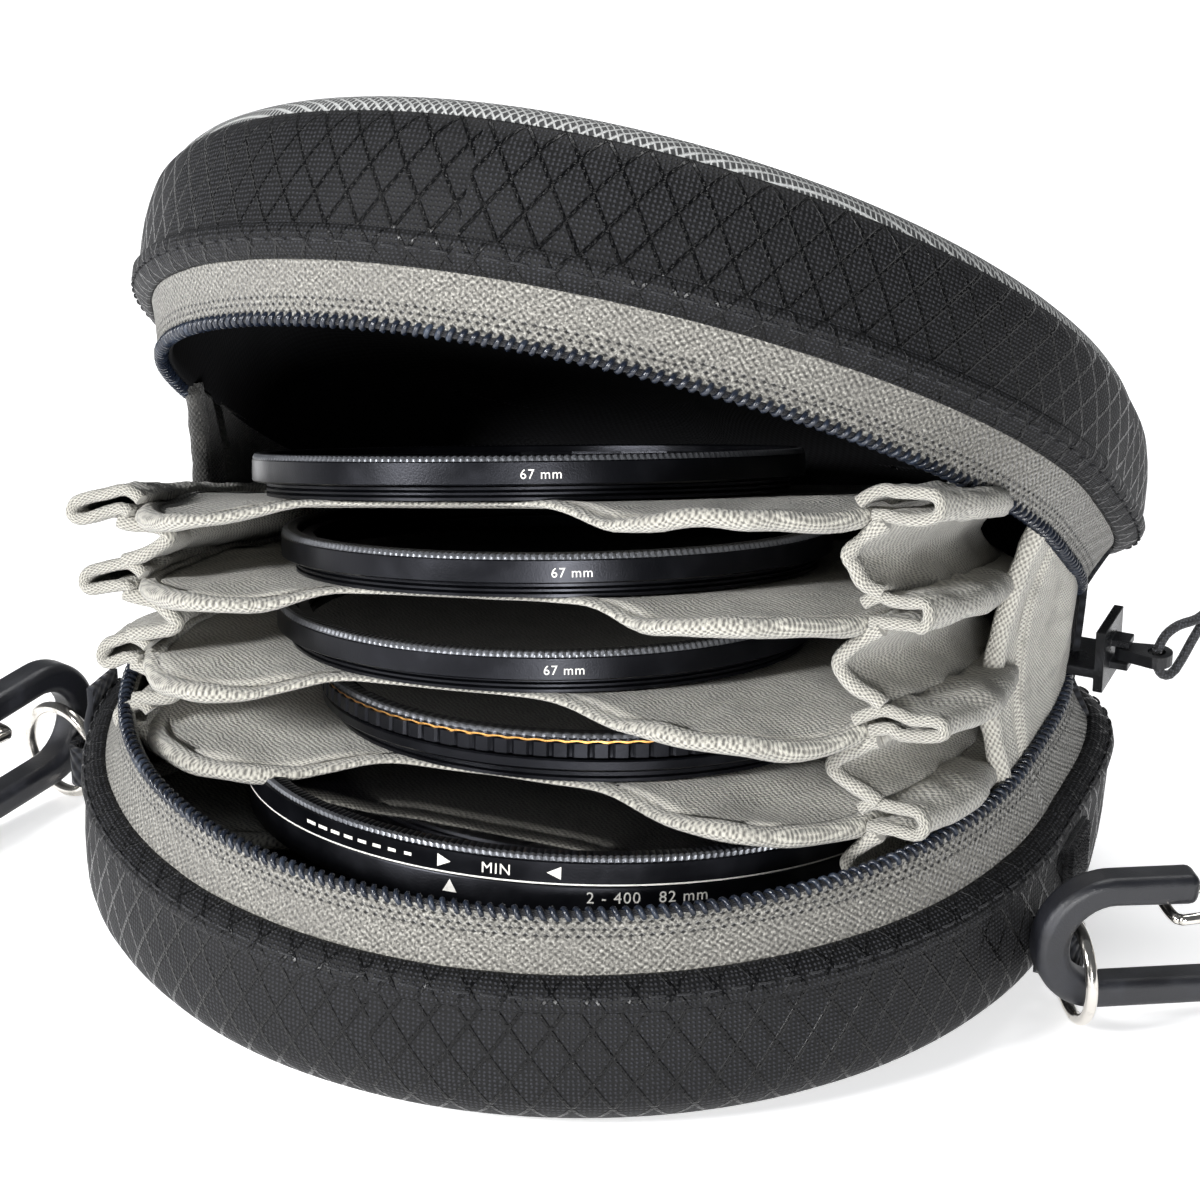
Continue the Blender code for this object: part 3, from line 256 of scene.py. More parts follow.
# Cotton canvas, brushed so that short fibres stand up: warm light grey, coarse plain weave, and a
# pale bloom where the surface turns away from the eye.
def brushedCanvas(name, light, dark, shade=0.45):
    made, tree, shader = newMaterial(name, {
        "Roughness": 0.95, "Sheen Weight": 0.35, "Sheen Roughness": 0.6, "Specular IOR Level": 0.2,
    })
    place, along, across = clothAxes(tree)
    wobble = addNode(tree, "TexNoise", {"Vector": place, "Scale": 1.0 / 2.2, "Detail": 2.0})
    alongBent = addNode(tree, "Math", [wobble, 0.7, along], operation="MULTIPLY_ADD")
    acrossBent = addNode(tree, "Math", [wobble, 0.9, across], operation="MULTIPLY_ADD")
    weave = plainWeave(tree, alongBent, acrossBent, 0.44, 0.40)
    fuzz = addNode(tree, "TexNoise", {"Vector": place, "Scale": 1.0 / 0.28, "Detail": 3.0, "Roughness": 0.7})
    slubs = addNode(tree, "TexNoise", {"Vector": place, "Scale": 1.0 / 5.0, "Detail": 3.0})
    threads = addNode(tree, "Math", [weave, 0.55], operation="MULTIPLY")
    threads = addHeights(tree, threads, ((fuzz, 0.5),))
    colour = layColours(tree, dark, (
        (addNode(tree, "MapRange", [threads, 0.22, 0.72, 0.0, 1.0], **smooth), light),
        (addNode(tree, "MapRange", [fuzz, 0.55, 0.85, 0.0, 0.55], **smooth), "#d9d7cf"),
        (addNode(tree, "MapRange", [slubs, 0.45, 0.8, 0.0, shade], **smooth), "#6d6b66"),
    ))
    soft = addNode(tree, "Bump", {"Height": slubs, "Distance": 0.0011, "Strength": 0.5})
    height = addNode(tree, "Math", [weave, 0.8], operation="MULTIPLY")
    height = addHeights(tree, height, ((fuzz, 1.2),))
    raised = {"Height": height, "Distance": 0.00018, "Strength": 1.0, "Normal": soft}
    feedShader(tree, shader, {"Base Color": colour, "Normal": addNode(tree, "Bump", raised)})
    return made


# Plain-woven polyester: black, dull, with a faint grain.
def darkWeave(name, dark, light, pitch, depth, sheen):
    made, tree, shader = newMaterial(name, {
        "Roughness": 0.9, "Sheen Weight": sheen, "Sheen Roughness": 0.5, "Specular IOR Level": 0.25,
    })
    place, along, across = clothAxes(tree)
    weave = plainWeave(tree, along, across, pitch, pitch)
    broad = addNode(tree, "TexNoise", {"Vector": place, "Scale": 1.0 / 12.0, "Detail": 3.0})
    patches = addNode(tree, "MapRange", [broad, 0.4, 0.8, 0.0, 0.4], **smooth)
    feedShader(tree, shader, {
        "Base Color": layColours(tree, dark, ((weave, light), (patches, dark))),
        "Normal": addNode(tree, "Bump", {"Height": weave, "Distance": depth, "Strength": 0.9}),
    })
    return made


# Polyester spacer mesh, knitted in two faces: pale grey ribs round dark open cells.
def airMeshKnit():
    made, tree, shader = newMaterial("polyesterSpacerMesh", {
        "Roughness": 0.85, "Sheen Weight": 0.2, "Specular IOR Level": 0.3,
    })
    place, along, across = clothAxes(tree)
    nearest = diamondLines(tree, along, across, 1.15, 0.95)
    rib = addNode(tree, "MapRange", [nearest, 0.10, 0.24, 1.0, 0.0], **smooth)
    yarn = addNode(tree, "TexNoise", {"Vector": place, "Scale": 1.0 / 0.4, "Detail": 2.0})
    pale = layColours(tree, "#77797a", ((yarn, "#b9bab8"),))
    height = addHeights(tree, rib, ((yarn, 0.4),))
    feedShader(tree, shader, {
        "Base Color": layColours(tree, "#2b2c2d", ((rib, pale),)),
        "Normal": addNode(tree, "Bump", {"Height": height, "Distance": 0.0005, "Strength": 1.0}),
    })
    return made


# a hard surface: a pattern through the solid, in millimetres, that changes its colour and its shine,
# and a fine grit or the same pattern as bump
def hardSurface(name, look):
    made, tree, shader = newMaterial(name, look["shader"])
    metres = addNode(tree, "TexCoord", {}, "Object")
    place = addNode(tree, "VectorMath", {0: metres, "Scale": 1000.0}, operation="SCALE")
    kind, values = look["pattern"]
    pattern = addNode(tree, kind, {"Vector": place, **values})
    low, high, most = look["wear"]
    curve = {} if look.get("straight") else smooth
    worn = addNode(tree, "MapRange", [pattern, low, high, 0.0, most], **curve)
    sockets = {"Base Color": layColours(tree, look["colour"], ((worn, look["wornColour"]),))}
    if "shine" in look:
        sockets["Roughness"] = addNode(tree, "MapRange", [pattern, *look["shine"]], **smooth)
    if "bump" in look:
        values, depth, strength = look["bump"]
        grit = addNode(tree, "TexNoise", {"Vector": place, **values}) if values else pattern
        sockets["Normal"] = addNode(tree, "Bump", {"Height": grit, "Distance": depth, "Strength": strength})
    feedShader(tree, shader, sockets)
    return made


# Glass-filled nylon, injection moulded in a fine spark-eroded tool: near black, satin, with rubbed edges.
def mouldedNylon(name, colour, edgeColour, roughness, grain):
    return hardSurface(name, {
        "shader": {"Roughness": roughness, "IOR": 1.53},
        "pattern": ("TexNoise", {"Scale": 1.0 / 4.0, "Detail": 3.0}),
        "colour": colour, "wornColour": edgeColour, "wear": (0.5, 0.8, 0.5),
        "shine": (0.3, 0.8, roughness - 0.08, roughness + 0.14),
        "bump": ({"Scale": 1.0 / grain, "Detail": 4.0, "Roughness": 0.6}, 0.00008, 0.6),
    })


# Aluminium ring, turned, bead blasted and anodised: black with a cold satin shine and fine turning marks.
def anodisedAluminium(name, colour, roughness):
    return hardSurface(name, {
        "shader": {"Metallic": 0.75, "Roughness": roughness},
        "pattern": ("TexNoise", {"Scale": 1.0 / 7.0, "Detail": 3.0}),
        "colour": colour, "wornColour": "#26272d", "wear": (0.45, 0.75, 0.5),
        "shine": (0.3, 0.8, roughness - 0.06, roughness + 0.12),
        "bump": ({"Scale": 1.0 / 0.25, "Detail": 3.0}, 0.00003, 0.5),
    })


hardLooks = {
    # Steel wire, bent and nickel plated: mirror bright, with a few dull spots.
    "steelWireNickelPlated": {
        "shader": {"Metallic": 1.0, "Roughness": 0.14},
        "pattern": ("TexNoise", {"Scale": 1.0 / 1.4, "Detail": 4.0}),
        "colour": "#d6d2cb", "wornColour": "#a8a49c", "wear": (0.5, 0.8, 1.0),
        "shine": (0.3, 0.8, 0.10, 0.30), "bump": (None, 0.00004, 0.3),
    },
    # Coated dark optical glass, ground and polished: almost black, with a clear reflection and faint dust.
    "opticalGlassCoated": {
        "shader": {"Roughness": 0.05, "IOR": 1.52, "Coat Weight": 0.6, "Coat Roughness": 0.03},
        "pattern": ("TexNoise", {"Scale": 1.0 / 1.1, "Detail": 5.0, "Roughness": 0.7}),
        "colour": "#050507", "wornColour": "#3a3a3e", "wear": (0.70, 0.78, 0.35),
        "shine": (0.4, 0.8, 0.04, 0.16),
    },
    # Pad-printed ink in fine engraving: flat, opaque, slightly worn.
    "inkWhitePrinted": {
        "shader": {"Roughness": 0.6},
        "pattern": ("TexNoise", {"Scale": 1.0 / 0.6, "Detail": 3.0}),
        "colour": "#e8e6e0", "wornColour": "#77756f", "wear": (0.45, 0.8, 0.35),
    },
    # A bright-cut groove in the ring, dyed gold: a thin warm metallic line.
    "aluminiumGoldCut": {
        "shader": {"Metallic": 1.0, "Roughness": 0.3},
        "pattern": ("TexNoise", {"Scale": 1.0, "Detail": 3.0}), "straight": True,
        "colour": "#c98a3c", "wornColour": "#f0bd78", "wear": (0.0, 1.0, 1.0),
    },
    # Nylon hook tape: a dense black stubble that swallows light.
    "nylonHookTape": {
        "shader": {"Roughness": 0.8, "Sheen Weight": 0.2},
        "pattern": ("TexNoise", {"Scale": 1.0 / 0.5, "Detail": 4.0, "Roughness": 0.7}),
        "colour": "#060607", "wornColour": "#34353a", "wear": (0.4, 0.7, 1.0), "bump": (None, 0.0005, 1.0),
    },
    # Polyester cord, braided over a core: black, with small slanting stitches that catch the light.
    "polyesterCordBraided": {
        "shader": {"Roughness": 0.6, "Sheen Weight": 0.2, "Sheen Roughness": 0.5},
        "pattern": ("TexVoronoi", {"Scale": 1.0 / 0.35, "Randomness": 0.4}),
        "colour": "#44464d", "wornColour": "#0d0d10", "wear": (0.1, 0.6, 1.0), "bump": (None, -0.00012, 1.0),
    },
}

paint = {
    "ripstop": ripstopNylon("nylonRipstopDiamond", 1.0),
    "binding": ripstopNylon("nylonRipstopBinding", 0.7),
    "tape": zipTapeWeave(),
    "canvas": brushedCanvas("cottonCanvasBrushed", "#b9b6ac", "#5b5954"),
    # painted light: a paler copy of the same canvas, standing for light falling on the right gusset
    "canvasLight": brushedCanvas("cottonCanvasPaintedLit", "#d9d6cc", "#85827b"),
    # painted shade: a near-black copy of the same canvas, standing for the shade on the left gusset
    "canvasDark": brushedCanvas("cottonCanvasPaintedShade", "#2b2a28", "#121211"),
    # painted shade: a darker copy of the same canvas for the base's cloth tray, standing for the shade down
    # in the base
    "canvasShade": brushedCanvas("cottonCanvasShadedLining", "#807e77", "#454440"),
    "lining": darkWeave("polyesterLiningBlack", "#08080a", "#17181b", 0.5, 0.0001, 0.0),
    "spineCloth": darkWeave("polyesterSpineCloth", "#101114", "#2b2d32", 0.6, 0.0002, 0.1),
    "webbing": darkWeave("polyesterWebbing", "#0a0a0c", "#2e3036", 0.9, 0.0004, 0.15),
    "thread": darkWeave("polyesterThread", "#0a0a0c", "#2c2d31", 0.3, 0.0001, 0.1),
    "mesh": airMeshKnit(),
    "coil": mouldedNylon("nylonCoilMoulded", "#141a26", "#3a4658", 0.28, 0.3),
    "moulded": mouldedNylon("nylonClipMoulded", "#15161b", "#2c2e36", 0.42, 0.25),
    "sliderBody": mouldedNylon("zincSliderPainted", "#0d0e11", "#26282d", 0.33, 0.3),
    "anodised": anodisedAluminium("aluminiumAnodisedBlack", "#14151a", 0.34),
    "bareEdge": anodisedAluminium("aluminiumKnurlWorn", "#75777c", 0.40),
}
for finish, name in (
    ("steel", "steelWireNickelPlated"), ("glass", "opticalGlassCoated"), ("ink", "inkWhitePrinted"),
    ("gold", "aluminiumGoldCut"), ("hook", "nylonHookTape"), ("cord", "polyesterCordBraided"),
):
    paint[finish] = hardSurface(name, hardLooks[name])
print("materials ready:", len(paint))


# mesh helpers
# faces through rows of points; closed joins each row's ends, loop joins the last row to the first
def gridMesh(name, rows, uv=None, closed=False, loop=False, flip=False):
    work = bmesh.new()
    layer = work.loops.layers.uv.new("clothMap")
    grid = [[work.verts.new(point) for point in row] for row in rows]
    count = len(rows[0])
    rowCount = len(rows)
    for r in range(rowCount if loop else rowCount - 1):
        nextRow = (r + 1) % rowCount
        for c in range(count if closed else count - 1):
            nextCol = (c + 1) % count
            corners = [(r, c), (r, c + 1), (r + 1, c + 1), (r + 1, c)]
            verts = [grid[r][c], grid[r][nextCol], grid[nextRow][nextCol], grid[nextRow][c]]
            if flip:
                corners.reverse()
                verts.reverse()
            face = work.faces.new(verts)
            face.smooth = True
            if uv:
                for corner, (i, j) in zip(face.loops, corners):
                    corner[layer].uv = uv(i, j)
    return toMesh(work, name)


def toMesh(work, name):
    mesh = bpy.data.meshes.new(name)
    work.to_mesh(mesh)
    work.free()
    return mesh


# faces over open ends, each given by the numbers of its corners; facing turns every face outwards
def closeEnds(mesh, ends, facing=False):
    work = bmesh.new()
    work.from_mesh(mesh)
    work.verts.ensure_lookup_table()
    for end in ends:
        work.faces.new([work.verts[k] for k in end])
    if facing:
        bmesh.ops.recalc_face_normals(work, faces=work.faces)
    work.normal_update()
    work.to_mesh(mesh)
    work.free()


# a new object in its finish, on its body, standing for its CAD nodes
def addPiece(name, data, finishes, body=None, stands=(), place=None):
    item = bpy.data.objects.new(name, data)
    bpy.context.scene.collection.objects.link(item)
    data.materials.clear()
    for finish in (finishes if isinstance(finishes, tuple) else (finishes,)):
        data.materials.append(paint[finish])
    if place is not None:
        item.matrix_world = place
    if body:
        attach(item, body)
    if stands:
        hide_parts(*stands)
    return item


def addModifier(item, kind, **settings):
    made = item.modifiers.new(kind.lower(), kind)
    for key, value in settings.items():
        setattr(made, key, value)
    return item


def addWall(item, wall, offset):
    return addModifier(item, "SOLIDIFY", thickness=wall * mm, offset=offset)


def softenEdges(item, width, segments, fromAngle):
    return addModifier(
        item, "BEVEL", width=width * mm, segments=segments, limit_method="ANGLE",
        angle_limit=math.radians(fromAngle), harden_normals=True,
    )


# turn the object's modifiers into its mesh
def bakeModifiers(item):
    bpy.context.view_layer.update()
    mesh = bpy.data.meshes.new_from_object(item.evaluated_get(bpy.context.evaluated_depsgraph_get()))
    item.modifiers.clear()
    item.data = mesh
    return item


# the mesh of a curve or text, whose own object isn't kept
def meshFromData(name, data):
    flat = bpy.data.objects.new(name, data)
    bpy.context.scene.collection.objects.link(flat)
    bpy.context.view_layer.update()
    mesh = bpy.data.meshes.new_from_object(flat.evaluated_get(bpy.context.evaluated_depsgraph_get()))
    bpy.data.objects.remove(flat)
    return mesh


# a round tube; radius may be one number or one for each point
def tubeMesh(name, path, radius, sides, closed=False):
    points = [Vector(p) for p in path]
    count = len(points)
    rows = []
    normal = None
    lengths = [0.0]
    for index, point in enumerate(points):
        before = points[index - 1] if index or closed else point
        after = points[(index + 1) % count] if index < count - 1 or closed else point
        heading = (after - before).normalized()
        if normal is None:
            normal = heading.orthogonal().normalized()
        normal = (normal - heading * normal.dot(heading)).normalized()
        side = heading.cross(normal)
        size = radius[index] if isinstance(radius, list) else radius
        rows.append([
            point + (normal * math.cos(a) + side * math.sin(a)) * size
            for a in (2.0 * math.pi * k / sides for k in range(sides))
        ])
        if index:
            lengths.append(lengths[-1] + (point - points[index - 1]).length)
    lengths.append(lengths[-1] + (points[0] - points[-1]).length)
    mesh = gridMesh(name, rows, lambda i, j: (lengths[i] / mm, j), closed=True, loop=closed, flip=True)
    if not closed:
        closeEnds(mesh, [list(range(sides)), list(range(count * sides - 1, (count - 1) * sides - 1, -1))])
    return mesh


# Catmull-Rom curve through the points
def smoothPath(points, steps, closed=False):
    points = [Vector(p) for p in points]
    count = len(points)
    made = []
    spans = count if closed else count - 1
    for span in range(spans):
        if closed:
            a, b, c, d = (points[(span + k) % count] for k in (-1, 0, 1, 2))
        else:
            a = points[max(span - 1, 0)]
            b = points[span]
            c = points[span + 1]
            d = points[min(span + 2, count - 1)]
        for step in range(steps):
            t = step / steps
            made.append(0.5 * (
                2.0 * b + (c - a) * t + (2.0 * a - 5.0 * b + 4.0 * c - d) * t * t
                + (3.0 * b - a - 3.0 * c + d) * t * t * t
            ))
    if not closed:
        made.append(points[-1])
    return made


def clamp01(value):
    return max(0.0, min(1.0, value))


def easeStep(value, low, high):
    t = clamp01((value - low) / (high - low))
    return t * t * (3.0 - 2.0 * t)


# smooth noise from -1 to 1
def ripple(x, y, z=0.0):
    return noise.noise(Vector((x, y, z)))


# the two halves of the case
caseSize = {
    "halfWidth": 65.0, "frontDepth": 65.0, "backDepth": 45.0, "rimHeight": 28.0,
    "bandHeight": 17.8, "taperHeight": 15.8, "edgeFillet": 6.0,
    "basePull": 4.8, "lidPull": 6.0, "lidSlope": 8.8, "lidShoulder": 3.0, "shoulderStart": 20.0,
    "rimExponent": 4.5, "faceExponent": 2.7, "hingeY": 41.0, "lidOpen": 37.0,
}


def levelAt(height):
    return max(0.0, 1.0 - height / caseSize["taperHeight"])


def outlineAt(angle, inset, level, isLid):
    behind = math.sin(angle) > 0.0
    power = caseSize["rimExponent"] + (caseSize["faceExponent"] - caseSize["rimExponent"]) * level
    if not behind:
        power = 2.0
    pull = caseSize["lidPull"] if isLid else caseSize["basePull"]
    depth = caseSize["backDepth"] - pull * level if behind else caseSize["frontDepth"]
    across = math.cos(angle)
    along = math.sin(angle)
    x = (caseSize["halfWidth"] - inset) * math.copysign(abs(across) ** (2.0 / power), across)
    y = (depth - inset) * math.copysign(abs(along) ** (2.0 / power), along)
    return x, y


# turn a point of the shut lid, in millimetres, to where the lid stands open
def openLid(point):
    turn = math.radians(caseSize["lidOpen"])
    y = point[1] - caseSize["hingeY"]
    z = point[2] - caseSize["rimHeight"]
    return Vector((
        point[0],
        caseSize["hingeY"] + y * math.cos(turn) + z * math.sin(turn),
        caseSize["rimHeight"] - y * math.sin(turn) + z * math.cos(turn),
    ))


# x, y and a height above this half's own outer face, in millimetres, to a place in the row frame
def casePoint(x, y, height, isLid, level=None):
    if not isLid:
        return Vector((x, y, height)) * mm
    level = levelAt(height) if level is None else level
    full = caseSize["backDepth"] + caseSize["frontDepth"]
    back = clamp01((y + caseSize["frontDepth"]) / full)
    shoulder = max(0.0, (y - caseSize["shoulderStart"]) / (caseSize["backDepth"] - caseSize["shoulderStart"]))
    drop = (caseSize["lidSlope"] * back + caseSize["lidShoulder"] * shoulder * shoulder) * level
    return openLid((x, y, 2.0 * caseSize["rimHeight"] - height - drop)) * mm


# angle against length along the rim, so that columns are evenly spaced round the corners
def rimTable():
    count = 4000
    angles = [2.0 * math.pi * k / count - 0.5 * math.pi for k in range(count + 1)]
    spots = [outlineAt(a, 3.0, 0.0, False) for a in angles]
    lengths = [0.0]
    for (x0, y0), (x1, y1) in zip(spots, spots[1:]):
        lengths.append(lengths[-1] + math.hypot(x1 - x0, y1 - y0))
    return np.array(angles), np.array(lengths)


rimAngles, rimLengths = rimTable()
rimTotal = float(rimLengths[-1])


# angle on the rim at a length in millimetres from the middle of the front, going to the right
def angleAlong(length):
    return float(np.interp(length % rimTotal, rimLengths, rimAngles))


# length from the middle of the front at which the right side reaches y
def lengthAtY(y, inset):
    half = range(len(rimAngles) // 2)
    best = min(half, key=lambda k: abs(outlineAt(rimAngles[k], inset, 0.0, False)[1] - y))
    return float(rimLengths[best])


def caseRows(profile, spots, isLid, wave=None):
    rows = []
    for inset, height in profile:
        row = []
        for spot in spots:
            angle = angleAlong(spot)
            push = wave(spot, height) if wave else 0.0
            x, y = outlineAt(angle, inset + push, levelAt(height), isLid)
            row.append(casePoint(x, y, height, isLid))
        rows.append(row)
    return rows


def profileLengths(profile):
    lengths = [0.0]
    for (i0, h0), (i1, h1) in zip(profile, profile[1:]):
        lengths.append(lengths[-1] + math.hypot(i1 - i0, h1 - h0))
    return lengths


halves = (("base", False), ("lid", True))
bandLook = {
    "columns": 420, "wall": 1.5, "belly": 0.55, "crease": 0.28, "creasePitch": 17.0, "panelSeam": 56.0,
}


def addBand(name, isLid):
    fillet = caseSize["edgeFillet"]
    profile = []
    first = bandLook["panelSeam"] if isLid else 0.0
    for step in range(7):
        turn = math.radians(first + (90.0 - first) * step / 6)
        profile.append((fillet * (1.0 - math.sin(turn)), fillet * (1.0 - math.cos(turn))))
    for share in (0.2, 0.4, 0.6, 0.8, 0.9, 1.0):
        profile.append((0.0, fillet + (caseSize["bandHeight"] - fillet) * share))
    count = bandLook["columns"]
    spots = [rimTotal * c / count for c in range(count)]
    seed = 31.7 if isLid else 4.2

    def wave(spot, height):
        turn = 2.0 * math.pi * spot / rimTotal
        ring = rimTotal / (2.0 * math.pi) / bandLook["creasePitch"]
        belly = bandLook["belly"] * math.sin(math.pi * clamp01(height / caseSize["bandHeight"])) ** 1.5
        crease = ripple(math.cos(turn) * ring + seed, math.sin(turn) * ring, height / 9.0)
        fade = easeStep(height, 0.3, 5.0)
        return -(belly + bandLook["crease"] * crease) * fade

    rows = caseRows(profile, spots, isLid, wave)
    lengths = profileLengths(profile)
    mesh = gridMesh(
        name + "Band", rows, lambda i, j: (rimTotal * j / count, lengths[i]), closed=True, flip=isLid,
    )
    item = addPiece(name + "SideWall", mesh, "ripstop", name, (name + "_band",))
    addWall(item, bandLook["wall"], -1.0)


hemLook = {
    "columns": 900, "stitchPitch": 3.1, "pinch": 0.22, "pinchReach": 0.9, "puff": 0.12, "stitchHeight": 19.2,
    "threadRadius": 0.16, "threadLength": 1.9, "threadRise": 0.16, "threadHeight": 19.15,
}


# the folded binding over the seam, drawn in at each stitch
def addHem(name, isLid):
    profile = [
        (0.75, 17.0), (-0.15, 17.1), (-0.55, 17.7), (-0.42, 18.6), (0.25, 19.5),
        (1.25, 20.3), (2.2, 20.75), (2.75, 20.6), (2.4, 20.1), (1.5, 19.4), (1.0, 18.4),
    ]
    count = hemLook["columns"]
    spots = [rimTotal * c / count for c in range(count)]
    stitches = round(rimTotal / hemLook["stitchPitch"])

    def wave(spot, height):
        turn = 2.0 * math.pi * spot / rimTotal * stitches
        near = max(0.0, math.cos(turn)) ** 3
        puff = ripple(spot / 5.0, height / 3.0, 9.1) * hemLook["puff"]
        away = (height - hemLook["stitchHeight"]) / hemLook["pinchReach"]
        return hemLook["pinch"] * near * math.exp(-away ** 2) + puff

    rows = caseRows(profile, spots, isLid, wave)
    lengths = profileLengths(profile)
    mesh = gridMesh(
        name + "Binding", rows, lambda i, j: (rimTotal * j / count, lengths[i % len(lengths)]),
        closed=True, loop=True, flip=isLid,
    )
    addPiece(name + "SeamBinding", mesh, "binding", name, (name + "_hem",))
    work = bmesh.new()
    for stitch in range(stitches):
        middle = rimTotal * (stitch + 0.5) / stitches
        points = []
        for share in (-0.5, -0.3, 0.0, 0.3, 0.5):
            angle = angleAlong(middle + share * hemLook["threadLength"])
            lift = hemLook["threadRise"] * (1.0 - (2.0 * share) ** 2)
            x, y = outlineAt(angle, -0.05 - lift, 0.0, isLid)
            points.append(casePoint(x, y, hemLook["threadHeight"], isLid))
        piece = tubeMesh("threadPart", points, hemLook["threadRadius"] * mm, 5)
        work.from_mesh(piece)
        bpy.data.meshes.remove(piece)
    addPiece(name + "SeamStitches", toMesh(work, name + "Stitches"), "thread", name)


zipLook = {
    "tapeEndY": 28.5, "coilEndY": 27.0, "tapeColumns": 420, "tapeWall": 0.7, "coilInset": 5.6,
    "coilHeight": 27.0,
    "toothPitch": 1.5, "toothRadius": 0.62, "wireRadius": 0.36, "coreRadius": 0.5,
}


def addTape(name, isLid):
    end = lengthAtY(zipLook["tapeEndY"], 3.0)
    count = zipLook["tapeColumns"]
    spots = [-end + 2.0 * end * c / (count - 1) for c in range(count)]
    profile = [
        (5.35, 27.3), (5.15, 26.7), (4.85, 25.7), (4.45, 24.5), (3.95, 23.2), (3.4, 21.9), (2.7, 20.5),
        (2.2, 19.6),
    ]
    lengths = profileLengths(profile)

    def wave(spot, height):
        return 0.18 * ripple(spot / 11.0, height / 4.0, 3.3 if isLid else 7.7)

    rows = caseRows(profile, spots, isLid, wave)
    mesh = gridMesh(name + "Tape", rows, lambda i, j: (spots[j], lengths[i]), flip=not isLid)
    item = addPiece(name + "ZipTape", mesh, "tape", name, (name + "_zip_tape",))
    addWall(item, zipLook["tapeWall"], -1.0)


# the zip's coil: one strand wound along the tape's edge, round a thin core
def addCoil(name, isLid):
    end = lengthAtY(zipLook["coilEndY"], zipLook["coilInset"])
    turns = round(2.0 * end / zipLook["toothPitch"])
    steps = 10
    points = []
    core = []
    for k in range(turns * steps + 1):
        spot = -end + 2.0 * end * k / (turns * steps)
        angle = angleAlong(spot)
        swing = 2.0 * math.pi * k / steps
        out = math.cos(swing) * zipLook["toothRadius"]
        lift = math.sin(swing) * zipLook["toothRadius"]
        x, y = outlineAt(angle, zipLook["coilInset"] + out, 0.0, isLid)
        points.append(casePoint(x, y, zipLook["coilHeight"] + lift, isLid))
        if k % 5 == 0:
            x, y = outlineAt(angle, zipLook["coilInset"], 0.0, isLid)
            core.append(casePoint(x, y, zipLook["coilHeight"], isLid))
    mesh = tubeMesh(name + "Coil", points, zipLook["wireRadius"] * mm, 6)
    addPiece(name + "ZipCoil", mesh, "coil", name, (name + "_zip_coil",))
    mesh = tubeMesh(name + "Core", core, zipLook["coreRadius"] * mm, 6)
    addPiece(name + "ZipCore", mesh, "thread", name)


panelLook = {
    "columns": 200, "rings": 16, "lidCrown": 2.6, "lidEdgeRise": 1.3, "overhang": 0.8, "wall": 1.2,
    "reach": 0.985, "weaveLean": 0.6, "ripple": 0.25, "clear": 0.02, "fill": 0.8,
}


# the padded face, quilted up from its seam on the lid and flat under the base
def addPanel(name, isLid):
    look = panelLook
    count = look["columns"]
    rings = look["rings"]
    angles = [angleAlong(rimTotal * c / count) for c in range(count)]
    middle = 0.5 * (caseSize["backDepth"] - caseSize["frontDepth"])
    rows = []
    if isLid:
        fillet = caseSize["edgeFillet"]
        for step in range(6):
            turn = math.radians(bandLook["panelSeam"] * (1.0 - step / 6))
            inset = fillet * (1.0 - math.sin(turn))
            height = fillet * (1.0 - math.cos(turn))
            puff = look["overhang"] * math.sin(math.pi * (step + 0.4) / 7.0)
            row = []
            for angle in angles:
                x, y = outlineAt(angle, inset - puff * math.sin(turn), levelAt(height), True)
                row.append(casePoint(x, y, height - puff * math.cos(turn), True))
            rows.append(row)
    for ring in range(rings + 1):
        share = (ring / rings) ** 1.4
        row = []
        for angle in angles:
            x, y = outlineAt(angle, caseSize["edgeFillet"] - 0.6, 1.0, isLid)
            x *= 1.0 - share * look["reach"]
            y = middle + (y - middle) * (1.0 - share * look["reach"])
            height = look["clear"]
            if isLid:
                edge = easeStep(share, 0.0, 0.10)
                crown = (look["lidCrown"] - look["lidEdgeRise"]) * easeStep(share, 0.05, 0.9)
                wavy = look["ripple"] * ripple(x / 14.0, y / 14.0, 2.0) * edge
                height = -(look["lidEdgeRise"] * edge + crown + wavy)
            row.append(casePoint(x, y, height, isLid, 1.0))
        rows.append(row)

    def clothPlace(point):
        return point.x / mm, (point.y - look["weaveLean"] * point.z) / mm

    flat = [[clothPlace(p) for p in row] for row in rows]
    mesh = gridMesh(
        name + "Panel", rows, lambda i, j: flat[i][j % count], closed=True, flip=not isLid,
    )
    hub = [(len(rows) - 1) * count + c for c in range(count)]
    closeEnds(mesh, [hub if isLid else hub[::-1]])
    cap = mesh.polygons[-1]
    cap.use_smooth = True
    for corner in cap.loop_indices:
        vert = mesh.vertices[mesh.loops[corner].vertex_index]
        mesh.uv_layers["clothMap"].data[corner].uv = clothPlace(vert.co)
    item = addPiece(name + "FacePanel", mesh, "mesh", name, (name + "_panel",))
    addWall(item, look["wall"], -1.0)


linerLook = {"columns": 220, "wall": 0.7, "slack": 0.35, "top": 26.4, "floor": 2.8, "floorInset": 9.0}


